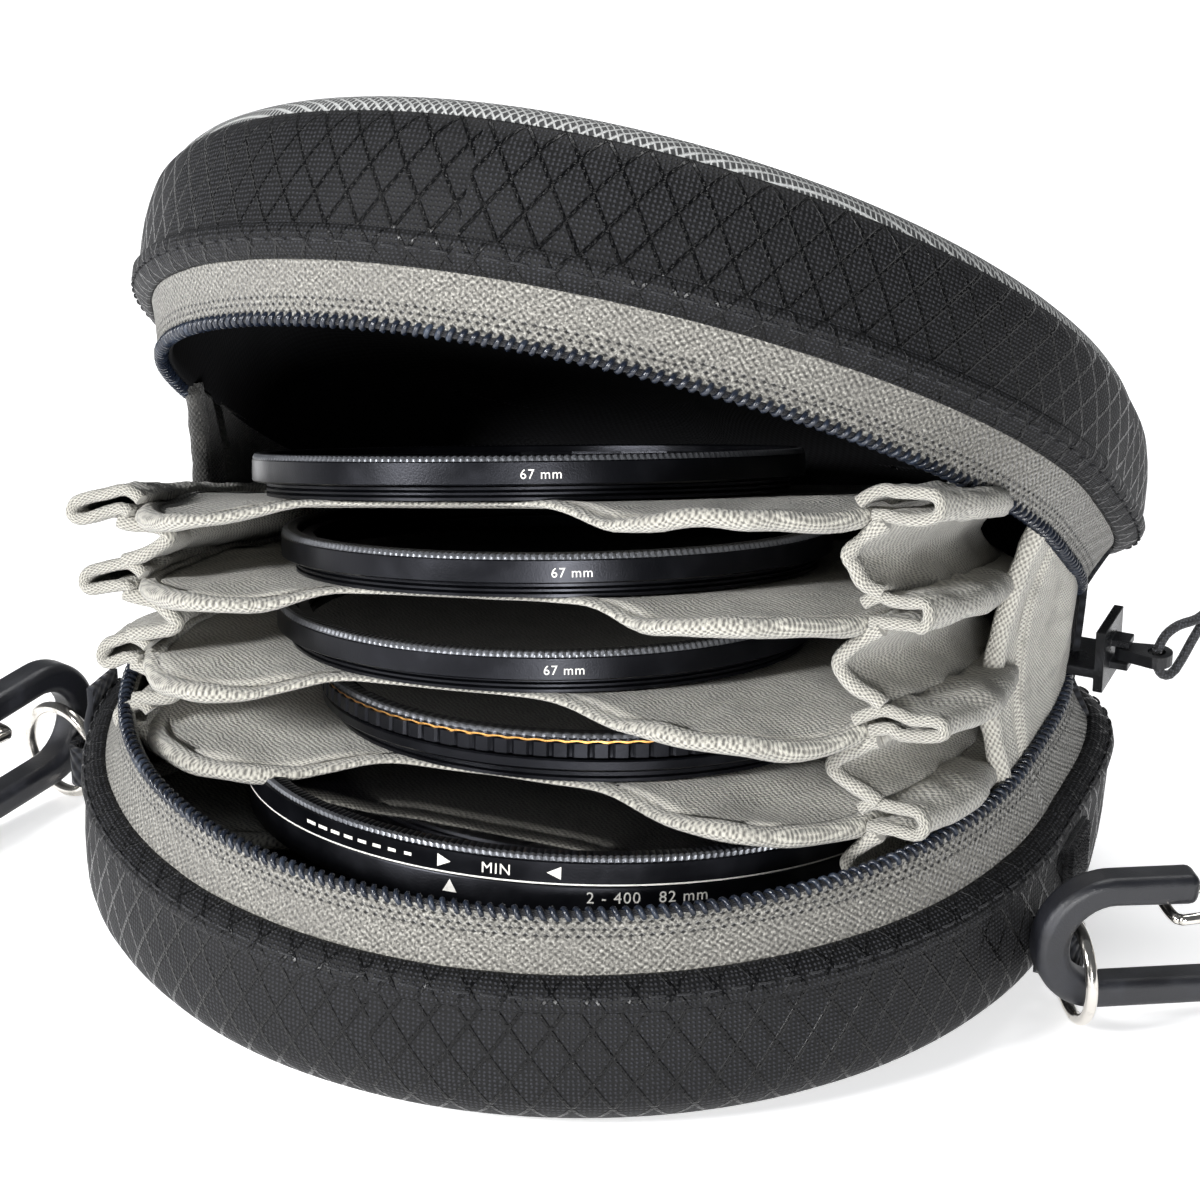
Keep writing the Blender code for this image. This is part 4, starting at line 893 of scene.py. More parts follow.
# the cloth tray inside a half, hung from just under the coil
def addLining(name, isLid, finish):
    profile = [
        (6.9, 26.4), (6.4, 25.0), (4.9, 22.0), (3.4, 18.6), (2.9, 15.4), (2.8, 11.0),
        (2.9, 7.0), (3.4, 5.2), (4.6, 3.7), (6.4, 3.0), (9.0, 2.8),
    ]
    count = linerLook["columns"]
    spots = [rimTotal * c / count for c in range(count)]

    def wave(spot, height):
        slack = linerLook["slack"] * (1.0 + ripple(spot / 9.0, height / 7.0, 5.0 if isLid else 1.0))
        return slack * easeStep(linerLook["top"] - height, 0.0, 4.0)

    rows = caseRows(profile, spots, isLid, wave)
    middle = 0.5 * (caseSize["backDepth"] - caseSize["frontDepth"])
    for share in (0.25, 0.6, 0.985):
        row = []
        for spot in spots:
            x, y = outlineAt(angleAlong(spot), linerLook["floorInset"], 1.0, isLid)
            y = middle + (y - middle) * (1.0 - share)
            row.append(casePoint(x * (1.0 - share), y, linerLook["floor"], isLid, 1.0))
        rows.append(row)
    lengths = profileLengths(profile) + [40.0, 60.0, 80.0]
    mesh = gridMesh(
        name + "Lining", rows, lambda i, j: (rimTotal * j / count, lengths[i]), closed=True, flip=not isLid,
    )
    hub = [(len(rows) - 1) * count + c for c in range(count)]
    closeEnds(mesh, [hub[::-1] if isLid else hub])
    item = addPiece(name + "Lining", mesh, finish, name, (name + "_liner",))
    addWall(item, linerLook["wall"], 1.0)


for halfName, halfIsLid in halves:
    addBand(halfName, halfIsLid)
    addHem(halfName, halfIsLid)
    addTape(halfName, halfIsLid)
    addCoil(halfName, halfIsLid)
    addPanel(halfName, halfIsLid)
    # the base's tray takes the darker canvas copy, which is painted shade
    addLining(halfName, halfIsLid, "lining" if halfIsLid else "canvasShade")
print("case halves built")


# cloth that crosses the hinge
spineLook = {
    "startY": 27.5, "columns": 120, "wall": 0.8, "bulge": 0.6,
    "foldFrom": (0.0, 0.0400, 0.0262), "foldTo": (0.0, 0.0412, 0.0312),
}


# the plain strip at the back that the lid turns on
def addSpineCloth():
    start = lengthAtY(spineLook["startY"], 3.0)
    count = spineLook["columns"]
    spots = [start + (rimTotal - 2.0 * start) * c / (count - 1) for c in range(count)]
    rows = []
    profile = [(2.4, 19.8), (3.3, 22.0), (4.2, 24.4), (4.8, 26.2)]
    for inset, height in profile:
        rows.append([casePoint(*outlineAt(angleAlong(s), inset, 0.0, False), height, False) for s in spots])
    upper = []
    for inset, height in reversed(profile):
        upper.append([casePoint(*outlineAt(angleAlong(s), inset, 0.0, True), height, True) for s in spots])
    between = []
    for share in (0.25, 0.5, 0.75):
        row = []
        for low, high in zip(rows[-1], upper[0]):
            point = low.lerp(high, share)
            point.y += spineLook["bulge"] * mm * math.sin(math.pi * share)
            row.append(point)
        between.append(row)
    everything = rows + between + upper
    mesh = gridMesh("spineCloth", everything, lambda i, j: (spots[j], i * 2.2))
    item = addPiece("spineCloth", mesh, "spineCloth", None, ("base_hinge_strip", "lid_hinge_strip"))
    addWall(item, spineLook["wall"], 0.0)
    bakeModifiers(item)
    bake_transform(item)


addSpineCloth()

gussetLook = {
    "inset": 6.3, "footHeight": 25.9, "backY": 33.5, "frontY": -6.0, "columns": 54, "rows": 40,
    "sag": 3.2, "crease": 1.3, "wall": 0.9, "hemRadius": 1.35,
}


# the web beside the insert, from rim to rim, slack in the middle and hemmed along its front
def addGusset(side):
    sign = 1.0 if side == "right" else -1.0
    look = gussetLook
    edges = []
    for column in range(look["columns"]):
        share = column / (look["columns"] - 1)
        y = look["backY"] + (look["frontY"] - look["backY"]) * share
        start = lengthAtY(y, look["inset"])
        x, y = outlineAt(angleAlong(start), look["inset"], 0.0, False)
        low, high = (casePoint(sign * x, y, look["footHeight"], isLid) for isLid in (False, True))
        edges.append((low, high, share))
    rows = []
    for r in range(look["rows"]):
        rise = r / (look["rows"] - 1)
        row = []
        for low, high, share in edges:
            point = low.lerp(high, rise)
            belly = math.sin(math.pi * rise)
            folds = ripple(share * 3.1, rise * 1.3, 4.0 if sign > 0 else 8.0)
            folds += 0.5 * ripple(share * 7.0, rise * 2.2, 6.0)
            sag = look["sag"] * belly * easeStep(share, 0.35, 1.0)
            point.x -= sign * (sag + look["crease"] * folds * belly) * mm
            point.y += look["crease"] * 1.2 * ripple(rise * 2.4, share, 2.0) * belly * share * mm
            row.append(point)
        rows.append(row)
    front = [row[-1].copy() for row in rows]
    mesh = gridMesh("gusset", rows, lambda i, j: (j * 0.85, i * 1.1), flip=sign < 0)
    # painted light on the right gusset and its hem, painted shade on the left: lit and shaded copies of one
    # canvas
    finish = "canvasLight" if side == "right" else "canvasDark"
    item = addPiece("sideGusset" + side.capitalize(), mesh, finish, None, ("side_gusset_" + side,))
    addWall(item, look["wall"], 0.0)
    bakeModifiers(item)
    middle = 0.5 * (front[0] + front[-1])
    start = Vector((0.0, middle.y, front[0].z + 1.0 * mm))
    plump = [1.0 + 0.22 * ripple(k * 0.35, 1.0, sign) for k in range(len(front))]
    radii = [look["hemRadius"] * mm * share for share in plump]
    hem = addPiece("gussetHem" + side.capitalize(), tubeMesh("gussetHem", front, radii, 10), finish)
    for piece in (item, hem):
        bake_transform(piece)


addGusset("left")
addGusset("right")
print("hinge cloth and gussets built")


# the accordion insert
sheetLook = {
    "pivotX": -16.0, "pivotY": 35.9, "wall": 0.8, "columns": 150, "rows": 34, "hem": 0.85, "hemWidth": 4.2,
    "hemProfile": (
        (0.25, 1.05), (0.5, 1.35), (0.75, 1.2), (0.93, 0.65), (1.0, -0.2), (0.93, -1.0), (0.75, -1.5),
        (0.5, -1.6),
        (0.25, -0.9),
    ),
    "wave": 1.1, "ripple": 0.35, "droop": 1.3, "underFilter": 0.5, "flutter": 0.9,
    "backEdge": 34.6, "backShare": 0.62, "endColumns": 12.0, "plumpChange": 0.35,
}
sheets = {
    1: {"height": 36.9, "turn": 22.0, "lean": 24.0, "filter": (-6.0, -3.5, 35.2)},
    2: {"height": 30.1, "turn": 18.0, "lean": 24.0, "filter": (-2.0, -3.8, 35.2)},
    3: {"height": 23.3, "turn": 13.5, "lean": 22.0, "filter": (-4.0, -2.0, 35.2)},
    4: {"height": 15.4, "turn": 11.0, "lean": 18.0, "filter": (2.0, -1.8, 35.5)},
    5: {"height": 5.2, "turn": 9.5, "lean": 12.0, "filter": (4.0, -10.2, 43.0)},
}
sheetEdge = [
    (30.0, 35.6), (36.0, 34.0), (44.0, 30.5), (50.0, 18.0), (52.0, 0.0), (52.0, -16.0),
    (49.0, -29.0), (41.0, -38.0), (30.0, -41.0), (20.0, -41.8), (10.0, -42.0), (0.0, -42.0),
]
scoop = {"depth": 8.0, "start": 10.0, "end": 34.0}


# how a sheet is turned up, about a line that is swung a little in plan
def sheetTurn(number):
    lean = math.radians(sheets[number]["lean"])
    line = Vector((math.cos(lean), math.sin(lean), 0.0))
    return Matrix.Rotation(-math.radians(sheets[number]["turn"]), 3, line)


# a point in a sheet's own flat frame, in millimetres, to the row frame
def sheetPlace(number, x, y, z):
    pivot = Vector((sheetLook["pivotX"], sheetLook["pivotY"], 0.0))
    raised = Vector((0.0, 0.0, sheets[number]["height"]))
    return (pivot + raised + sheetTurn(number) @ (Vector((x, y, z)) - pivot)) * mm


# the free edge of a sheet, from the back left corner round the front to the back right corner;
# the front is scooped out, so that a filter stands over it and can be taken by its rim
def sheetOutline(number, count):
    right = smoothPath([(x, y, 0.0) for x, y in sheetEdge], 12)
    left = [Vector((-p.x, p.y, 0.0)) for p in right]
    path = left[:-1] + right[::-1]
    middle = sheets[number]["filter"][0]
    for point in path:
        if point.y < -20.0:
            near = 1.0 - easeStep(abs(point.x - middle), scoop["start"], scoop["end"])
            point.y += scoop["depth"] * near
    lengths = [0.0]
    for a, b in zip(path, path[1:]):
        lengths.append(lengths[-1] + (b - a).length)
    total = lengths[-1]
    targets = np.linspace(0.0, total, count)
    xs = np.interp(targets, lengths, [p.x for p in path])
    ys = np.interp(targets, lengths, [p.y for p in path])
    return list(zip(xs.tolist(), ys.tolist()))


# how far the cloth lifts off its flat plane: it lies flat under the filter and waves outside it
def sheetRise(number, x, y):
    fx, fy, radius = sheets[number]["filter"]
    away = math.hypot(x - fx, y - fy) - radius
    free = easeStep(away, -1.0, 9.0)
    side = easeStep(abs(x), 30.0, 50.0)
    frontShare = easeStep(-y, 10.0, 38.0)
    soft = ripple(x / 17.0, y / 17.0, number * 3.7)
    fine = ripple(x / 6.5, y / 6.5, number * 9.1)
    pressed = sheetLook["underFilter"] * (1.0 - free) * easeStep(-y, 30.0, 36.0)
    droop = pressed - sheetLook["droop"] * frontShare * free
    flutter = sheetLook["flutter"] * side * frontShare * ripple(y / 8.0, number * 2.0)
    return (sheetLook["wave"] * soft + sheetLook["ripple"] * fine) * free + droop + flutter


def addSheet(number):
    look = sheetLook
    edge = sheetOutline(number, look["columns"])
    wall = look["wall"]
    rows = []
    flat = []
    crossing = np.linspace(0.0, 1.0, look["rows"]).tolist()[:-1]

    def addFace(shares, height):
        for share in shares:
            row = []
            place = []
            for x, y in edge:
                px = x * (look["backShare"] + (1.0 - look["backShare"]) * share)
                py = look["backEdge"] + (y - look["backEdge"]) * share
                row.append(sheetPlace(number, px, py, height + sheetRise(number, px, py) * share))
                place.append((px, py))
            rows.append(row)
            flat.append(place)

    addFace(crossing, wall)
    for reach, height in look["hemProfile"]:
        row = []
        place = []
        for index, (x, y) in enumerate(edge):
            before = edge[max(index - 1, 0)]
            after = edge[min(index + 1, len(edge) - 1)]
            along = Vector((after[0] - before[0], after[1] - before[1]))
            along.normalize()
            outX, outY = along.y, -along.x
            inX = x - outX * look["hemWidth"]
            inY = y - outY * look["hemWidth"]
            ends = min(index, len(edge) - 1 - index) / look["endColumns"]
            plump = 1.0 + look["plumpChange"] * ripple(index * 0.23, number * 5.0)
            plump *= look["hem"] * clamp01(ends)
            plump *= 0.30 + 0.70 * easeStep(abs(x - sheets[number]["filter"][0]), 10.0, 40.0)
            push = reach * look["hemWidth"]
            z = 0.5 * wall + (height - 0.4) * plump + 0.45 * wall * math.copysign(1.0 - clamp01(ends), height)
            px = inX + outX * push
            py = min(inY + outY * push, look["backEdge"])
            row.append(sheetPlace(number, px, py, z + sheetRise(number, x, y)))
            place.append((px + outX * z, py + outY * z))
        rows.append(row)
        flat.append(place)
    addFace(crossing[::-1], 0.0)
    mesh = gridMesh("sheet%d" % number, rows, lambda i, j: flat[i % len(flat)][j], loop=True, flip=True)
    first = [r * look["columns"] for r in range(len(rows))]
    last = [k + look["columns"] - 1 for k in first]
    closeEnds(mesh, [first, last[::-1]], facing=True)
    item = addPiece("pocketSheet%d" % number, mesh, "canvas", "sheet_%d" % number, ("divider_%d" % number,))


foldLook = {
    "columns": 44, "backY": 30.0, "frontY": -30.0, "cornerY": -29.0, "root": 1.2, "rise": 1.9,
    "depth": {"right": (3.5, 4.5, 5.0, 2.5), "left": (5.0, 5.5, 5.5, 4.0)},
    "roll": {"right": (8.0, 7.0, 8.5, 6.5), "left": (8.5, 7.0, 5.5, 3.5)},
    "rollProfile": (
        (-0.22, 0.7), (-0.08, 1.25), (0.12, 1.7), (0.35, 1.75), (0.62, 1.55), (0.84, 1.45), (0.97, 0.9),
        (1.0, 0.0),
        (0.90, -0.85), (0.68, -1.15), (0.42, -0.95), (0.18, -0.9), (-0.05, -1.1),
    ),
    "wall": 1.1, "hemRadius": 0.95, "hemChange": 0.3, "rollHem": 0.85, "tucked": 3.0, "keep": 0.3,
    "backDepth": 3.0, "foldCrinkle": 0.7, "rollCrinkle": 0.75,
    "rollBack": 1.5, "rollChange": 0.9, "rollSag": 1.2,
}


# half the width of a sheet at y
def sideX(y):
    for (x0, y0), (x1, y1) in zip(sheetEdge, sheetEdge[1:]):
        if y1 <= y <= y0:
            return x0 + (x1 - x0) * (y - y0) / (y1 - y0)
    return sheetEdge[-1][0]


# the cloth that closes one side of a pocket: in to a fold, and out again to the next sheet
def addFold(number, side):
    sign = 1.0 if side == "right" else -1.0
    look = foldLook
    depthFront = look["depth"][side][number - 1]
    rows = [[] for _ in range(9)]
    for column in range(look["columns"]):
        share = column / (look["columns"] - 1)
        y = look["backY"] + (look["frontY"] - look["backY"]) * share
        x = sideX(max(y, look["cornerY"]))
        root = x + look["root"] * share
        depth = look["backDepth"] + (depthFront - look["backDepth"]) * easeStep(share, 0.3, 1.0)
        low = sheetPlace(number + 1, sign * root, y, 0.8 + look["rise"] * share)
        high = sheetPlace(number, sign * root, y, -0.4 - look["rise"] * 0.5 * share)
        under = sheetPlace(number + 1, sign * (x - depth), y, 0.8)
        over = sheetPlace(number, sign * (x - depth), y, 0.0)
        inner = 0.5 * (under + over)
        wobble = ripple(share * 3.0, number * 2.3, sign * 4.0)
        inner += Vector((sign * wobble * 1.8, 0.0, wobble * 1.2)) * mm * share
        reach = (high - low).length
        lowIn = low.lerp(inner, 0.55) - up * (0.08 * reach)
        highIn = high.lerp(inner, 0.55) + up * (0.08 * reach)
        dense = smoothPath([low, lowIn, inner, highIn, high], 2)
        for row, point in zip(rows, dense):
            crinkle = ripple(point.x / mm / 4.0, point.y / mm / 5.0, point.z / mm / 4.0)
            crinkle *= look["foldCrinkle"] * mm * share
            row.append(point + Vector((crinkle, crinkle * 0.5, crinkle)))
    mesh = gridMesh("fold", rows, lambda i, j: (j * 1.5, i * 1.4), flip=sign < 0)
    label = "pocketFold" + side.capitalize() + str(number)
    item = addPiece(label, mesh, "canvas", None, ("bellows_%s_%d" % (side, number),))
    addWall(item, look["wall"], 0.0)
    bakeModifiers(item)
    path = smoothPath([row[-1] for row in rows], 4)
    plump = [1.0 + look["hemChange"] * ripple(k * 0.15, number, sign * 2.0) for k in range(len(path))]
    radii = [look["hemRadius"] * mm * share for share in plump]
    hem = addPiece(label + "Hem", tubeMesh("foldHem", path, radii, 10), "canvas")
    for piece in (item, hem):
        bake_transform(piece)


# the same cloth where it runs out past a sheet's edge, round a soft roll, and back under it
def addRoll(number, side):
    sign = 1.0 if side == "right" else -1.0
    look = foldLook
    reachFront = look["roll"][side][number - 1]
    rows = [[] for _ in look["rollProfile"]]
    for column in range(look["columns"]):
        share = column / (look["columns"] - 1)
        y = look["backY"] + (look["frontY"] - look["backY"]) * share
        x = sideX(max(y, look["cornerY"]))
        grown = easeStep(share, 0.05, 0.85)
        reach = look["rollBack"] + (reachFront - look["rollBack"]) * grown
        reach += look["rollChange"] * ripple(share * 4.0, number * 1.7, sign) * grown
        fat = (0.35 + 0.65 * grown) * (1.0 + 0.2 * ripple(share * 5.0, number * 3.1, sign * 2.0))
        sag = -look["rollSag"] * grown * (1.0 if side == "left" else 0.3)
        for row, (out, rise) in zip(rows, look["rollProfile"]):
            sagHere = sag * clamp01(out) ** 2
            point = sheetPlace(number, sign * (x + out * reach), y, 0.4 + rise * fat + sagHere)
            crinkle = ripple(point.x / mm / 3.4, point.y / mm / 4.0, point.z / mm / 3.4)
            crinkle *= look["rollCrinkle"] * mm * grown
            row.append(point + Vector((crinkle, crinkle * 0.5, crinkle)))
    mesh = gridMesh("roll", rows, lambda i, j: (j * 1.4, i * 1.3), flip=sign > 0)
    label = "sheetRoll" + side.capitalize() + str(number)
    item = addPiece(label, mesh, "canvas")
    addWall(item, look["wall"], 0.0)
    bakeModifiers(item)
    path = smoothPath([row[-1] for row in rows], 3)
    radius = look["hemRadius"] * look["rollHem"] * mm
    hem = addPiece(label + "Hem", tubeMesh("rollHem", path, radius, 10), "canvas")
    for piece in (item, hem):
        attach(piece, "sheet_%d" % number)
        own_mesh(piece)


for sheetNumber in sheets:
    addSheet(sheetNumber)
for sheetNumber in (1, 2, 3, 4):
    for sideName in ("left", "right"):
        addFold(sheetNumber, sideName)
        addRoll(sheetNumber, sideName)
print("accordion insert built")


# filters
filterLook = {
    "knurlPitch": 0.85, "ribDepth": 0.28, "goldWave": 0.10, "sharpFrom": 28.0,
    "smallRadius": 35.2, "largeRear": 43.0, "largeFront": 43.5, "lift": 1.1,
    "markProud": 0.02, "markSunk": 0.05, "textDepth": 0.035, "textSpacing": 1.12,
}


# matrix from a filter's own frame to the row frame; its zero is on the sheet, under the ring
def filterFrame(number):
    x, y, _ = sheets[number]["filter"]
    origin = sheetPlace(number, x, y, filterLook["lift"])
    return Matrix.Translation(origin) @ sheetTurn(number).to_4x4()


# a ring turned from a closed profile in millimetres; ripples cut teeth or ribs into chosen points
def ringMesh(name, profile, columns, ripples=None):
    rows = []
    for index, (radius, height) in enumerate(profile):
        row = []
        for column in range(columns):
            angle = 2.0 * math.pi * column / columns
            dr, dz = ripples[index](column) if ripples and index in ripples else (0.0, 0.0)
            r = radius + dr
            row.append(Vector((r * math.cos(angle), r * math.sin(angle), height + dz)) * mm)
        rows.append(row)
    lengths = profileLengths(profile + [profile[0]])
    around = 2.0 * math.pi * profile[0][0]
    mesh = gridMesh(
        name, rows, lambda i, j: (around * j / columns, lengths[i]), closed=True, loop=True, flip=True,
    )
    closeEnds(mesh, [], facing=True)
    mesh.set_sharp_from_angle(angle=math.radians(filterLook["sharpFrom"]))
    return mesh


# one tooth for every four columns, with a narrow root
def teeth(depthOut, depthUp):
    def cutTooth(column):
        cut = (1.0, 0.35, 0.0, 0.35)[column % 4]
        return -depthOut * cut, -depthUp * cut
    return cutTooth


# a turned ring on its body; bands gives the finish, by its number, of chosen strips of the profile
def addRingPiece(name, profile, columns, ripples, finishes, bands, number, body, node):
    mesh = ringMesh(name, profile, columns, ripples)
    item = addPiece(name, mesh, finishes, body, (node,), filterFrame(number))
    for face in mesh.polygons:
        face.material_index = bands.get(face.index // columns, 0)
    return item


# flat marks wrapped round a ring: each shape is a polygon of (length along, height) in millimetres
def cylinderMarks(name, shapes, radius, place, body):
    work = bmesh.new()
    for shape in shapes:
        dense = []
        for (x0, z0), (x1, z1) in zip(shape, shape[1:] + shape[:1]):
            steps = max(1, int(abs(x1 - x0) / 0.8))
            dense += [(x0 + (x1 - x0) * k / steps, z0 + (z1 - z0) * k / steps) for k in range(steps)]
        loops = []
        for r in (radius + filterLook["markProud"], radius - filterLook["markSunk"]):
            ring = []
            for along, height in dense:
                angle = along / radius
                ring.append(work.verts.new(Vector((r * math.sin(angle), -r * math.cos(angle), height)) * mm))
            loops.append(ring)
        work.faces.new(loops[0])
        work.faces.new(loops[1][::-1])
        count = len(dense)
        for k in range(count):
            after = (k + 1) % count
            work.faces.new((loops[0][k], loops[1][k], loops[1][after], loops[0][after]))
    bmesh.ops.recalc_face_normals(work, faces=work.faces)
    bmesh.ops.triangulate(work, faces=work.faces)
    return addPiece(name, toMesh(work, name), "ink", body, place=place)


# plain figures, set flat and then wrapped round a ring
def wrappedText(name, words, size, along, height, radius, place, body):
    data = bpy.data.curves.new(name, "FONT")
    data.body = words
    data.size = size
    data.extrude = filterLook["textDepth"]
    data.resolution_u = 3
    data.space_character = filterLook["textSpacing"]
    mesh = meshFromData(name + "Flat", data)
    for vert in mesh.vertices:
        angle = (vert.co.x + along) / radius
        r = radius + vert.co.z
        vert.co = Vector((r * math.sin(angle), -r * math.cos(angle), vert.co.y + height)) * mm
    return addPiece(name, mesh, "ink", body, place=place)


# a new finish on a CAD piece that is kept
def repaint(node, finish):
    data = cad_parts[node].data
    data.materials.clear()
    data.materials.append(paint[finish])
    return data


def tintGlass(node):
    for face in repaint(node, "glass").polygons:
        face.use_smooth = False


# ring with a knurled top edge and three thread lines under its flange
def addDiffuser(number):
    radius = filterLook["smallRadius"]
    columns = 4 * round(2.0 * math.pi * radius / filterLook["knurlPitch"])
    profile = [
        (33.4, 0.0), (33.4, 0.35), (33.05, 0.5), (33.4, 0.7), (33.4, 0.95), (33.05, 1.1), (33.4, 1.3),
        (33.4, 1.6),
        (33.1, 1.75), (34.9, 1.8), (35.2, 2.0), (35.2, 4.55), (35.1, 4.7), (35.1, 5.0), (34.85, 5.35),
        (34.4, 5.4),
        (33.3, 5.4), (33.1, 5.2), (33.1, 1.3), (31.4, 1.3), (31.4, 0.0),
    ]
    cut = teeth(0.14, 0.16)
    addRingPiece(
        "diffuserRing%d" % number, profile, columns, {13: cut, 14: cut, 15: cut}, ("anodised", "bareEdge"),
        {12: 1, 13: 1, 14: 1}, number, "diffuser_%d" % number, "diffuser_%d_ring" % number,
    )
    tintGlass("diffuser_%d_glass" % number)
    repaint("diffuser_%d_retainer" % number, "anodised")
    place = filterFrame(number)
    wrappedText("sizeMark%d" % number, "67 mm", 1.65, 13.4, 2.6, radius, place, "diffuser_%d" % number)


# two rings: a thin one with thread, and a ribbed one with a gold line cut under its knurled edge
def addPolariser():
    rear = [
        (33.4, 0.0), (33.4, 0.4), (33.05, 0.55), (33.4, 0.75), (33.4, 1.2), (33.1, 1.4), (33.4, 1.6),
        (33.4, 1.8),
        (35.0, 1.8), (35.2, 2.0), (35.2, 3.0), (35.0, 3.2), (31.4, 3.2), (31.4, 0.0),
    ]
    addRingPiece(
        "polariserRearRing", rear, 180, None, "anodised", {}, 4, "polariser", "polariser_rear_ring",
    )
    front = [
        (35.3, 3.5), (35.5, 3.65), (35.5, 5.35), (35.25, 5.45), (35.25, 5.7), (35.4, 5.75), (35.4, 6.1),
        (35.1, 6.45), (34.6, 6.5), (33.3, 6.5), (33.1, 6.3), (33.1, 4.2), (31.4, 4.2), (31.4, 3.5),
    ]

    def ribs(column):
        return (-filterLook["ribDepth"] if column % 8 in (0, 7) else 0.0), 0.0

    def goldWave(column):
        return 0.0, filterLook["goldWave"] * math.sin(2.0 * math.pi * column / 8.0)

    cut = teeth(0.14, 0.16)
    ripples = {0: ribs, 1: ribs, 2: ribs, 3: goldWave, 4: goldWave, 6: cut, 7: cut, 8: cut}
    addRingPiece(
        "polariserFrontRing", front, 720, ripples, ("anodised", "gold", "bareEdge"), {3: 1, 6: 2, 7: 2},
        4, "polariser_front", "polariser_front_ring",
    )
    tintGlass("polariser_glass")


scaleLook = {
    "marks": 8, "first": -21.5, "pitch": 2.3, "length": 1.7, "shrink": 0.1, "low": 6.45, "high": 6.85,
}


# the large filter: a plain rear ring with an index mark, and a turning ring with a knurled edge and a scale
def addDensity():
    rear = [
        (40.9, 0.0), (40.9, 0.35), (40.5, 0.5), (40.9, 0.7), (40.9, 1.2), (42.8, 1.2), (43.0, 1.4),
        (43.0, 4.6),
        (42.9, 4.8), (38.8, 4.8), (38.8, 0.0),
    ]
    addRingPiece("densityRearRing", rear, 240, None, "anodised", {}, 5, "sheet_5", "density_rear_ring")
    front = [
        (43.3, 5.1), (43.5, 5.2), (43.5, 5.4), (43.5, 5.62), (43.5, 7.9), (43.3, 8.0), (43.35, 8.15),
        (43.25, 8.6), (42.8, 8.8), (41.3, 8.8), (41.2, 8.6), (41.2, 5.8), (38.8, 5.8), (38.8, 5.1),
    ]
    cut = teeth(0.22, 0.24)
    addRingPiece(
        "densityFrontRing", front, 1280, {6: cut, 7: cut, 8: cut}, ("anodised", "ink", "bareEdge"),
        {1: 1, 6: 2, 7: 2}, 5, "density_front", "density_front_ring",
    )
    tintGlass("density_glass")
    look = scaleLook
    marks = []
    for step in range(look["marks"]):
        start = look["first"] + look["pitch"] * step
        length = look["length"] - look["shrink"] * step
        end = start + length
        marks.append([(start, look["low"]), (end, look["low"]), (end, look["high"]), (start, look["high"])])
    marks.append([(-0.9, 5.85), (0.8, 6.65), (-0.9, 7.45)])
    marks.append([(14.2, 5.85), (14.2, 7.45), (12.5, 6.65)])
    pointer = [[(-0.4, 2.7), (1.4, 2.7), (0.5, 4.3)]]
    place = filterFrame(5)
    rearRadius = filterLook["largeRear"]
    frontRadius = filterLook["largeFront"]
    cylinderMarks("densityScale", marks, frontRadius, place, "density_front")
    wrappedText("densityStop", "MIN", 1.9, 4.6, 5.95, frontRadius, place, "density_front")
    cylinderMarks("densityIndex", pointer, rearRadius, place, "sheet_5")
    wrappedText("densitySize", "2 - 400   82 mm", 2.0, 17.0, 2.85, rearRadius, place, "sheet_5")


for filterNumber in (1, 2, 3):
    addDiffuser(filterNumber)
addPolariser()
addDensity()
print("filters built")


# slider, cord and grip
# a CAD piece that is kept: a better finish, smooth shading and softened edges
def dressNode(node, finish, sharpFrom=35.0, bevel=0.0):
    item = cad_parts[node]
    repaint(node, finish).shade_smooth()
    item.data.set_sharp_from_angle(angle=math.radians(sharpFrom))
    if bevel:
        softenEdges(item, bevel, 2, 40.0)


dressNode("zip_slider", "sliderBody", bevel=0.18)
dressNode("zip_pull_tab", "sliderBody", bevel=0.25)
dressNode("pull_grip", "moulded", 50.0)
dressNode("accordion_spine", "spineCloth")


# cloth coordinates for a kept piece, from the side it faces most
def clothMapFor(item):
    mesh = item.data
    layer = mesh.uv_layers.new(name="clothMap")
    for face in mesh.polygons:
        skip = max(range(3), key=lambda k: abs(face.normal[k]))
        axes = [k for k in range(3) if k != skip]
        for corner in face.loop_indices:
            point = mesh.vertices[mesh.loops[corner].vertex_index].co
            layer.data[corner].uv = (point[axes[0]] / mm, point[axes[1]] / mm)


clothMapFor(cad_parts["accordion_spine"])

cordLook = {
    "radius": 0.65, "length": 44.0, "spacing": 1.5, "sag": 4.0, "neck": 7.0,
    "heading": Vector((0.60, 0.60, 0.53)),
    "eye": Vector((68.7, 28.0, 30.7)),
}


# the cord: out of the eye, along one strand, round inside the grip and back to the eye
def addCord():
    look = cordLook
    out = look["heading"].normalized()
    eye = look["eye"]
    strand = []
    steps = 16
    for step in range(steps + 1):
        share = step / steps
        run = look["neck"] + (look["length"] - look["neck"]) * share
        strand.append(eye + out * run - up * (look["sag"] * share * share))
    heading = (strand[-1] - strand[-2]).normalized()
    side = out.cross(up).normalized()
    across = side.cross(heading).normalized() * (0.5 * look["spacing"])
    turn = []
    for step in range(1, 6):
        angle = math.pi * step / 6
        ahead = heading * (0.5 * look["spacing"] * math.sin(angle))
        turn.append(strand[-1] + across * math.cos(angle) + ahead)
    upper = [point + across for point in strand]
    lower = [point - across for point in reversed(strand)]
    flat = Vector((out.x, out.y, 0.0)).normalized()
    first = [eye + up * 0.85, eye + flat * 1.1 + up * 2.9, eye + flat * 3.0 + up * 4.0]
    last = [eye + flat * 3.0 - up * 2.4, eye + flat * 1.1 - up * 2.7, eye - up * 0.85]
    path = smoothPath([p * mm for p in first + upper], 3)[:-1]
    path += smoothPath([p * mm for p in [upper[-1]] + turn + [lower[0]]], 3)[:-1]
    path += smoothPath([p * mm for p in lower + last], 3)
    mesh = tubeMesh("cord", path, look["radius"] * mm, 12)
    item = addPiece("pullCord", mesh, "cord", "pull", ("pull_cord",))


addCord()


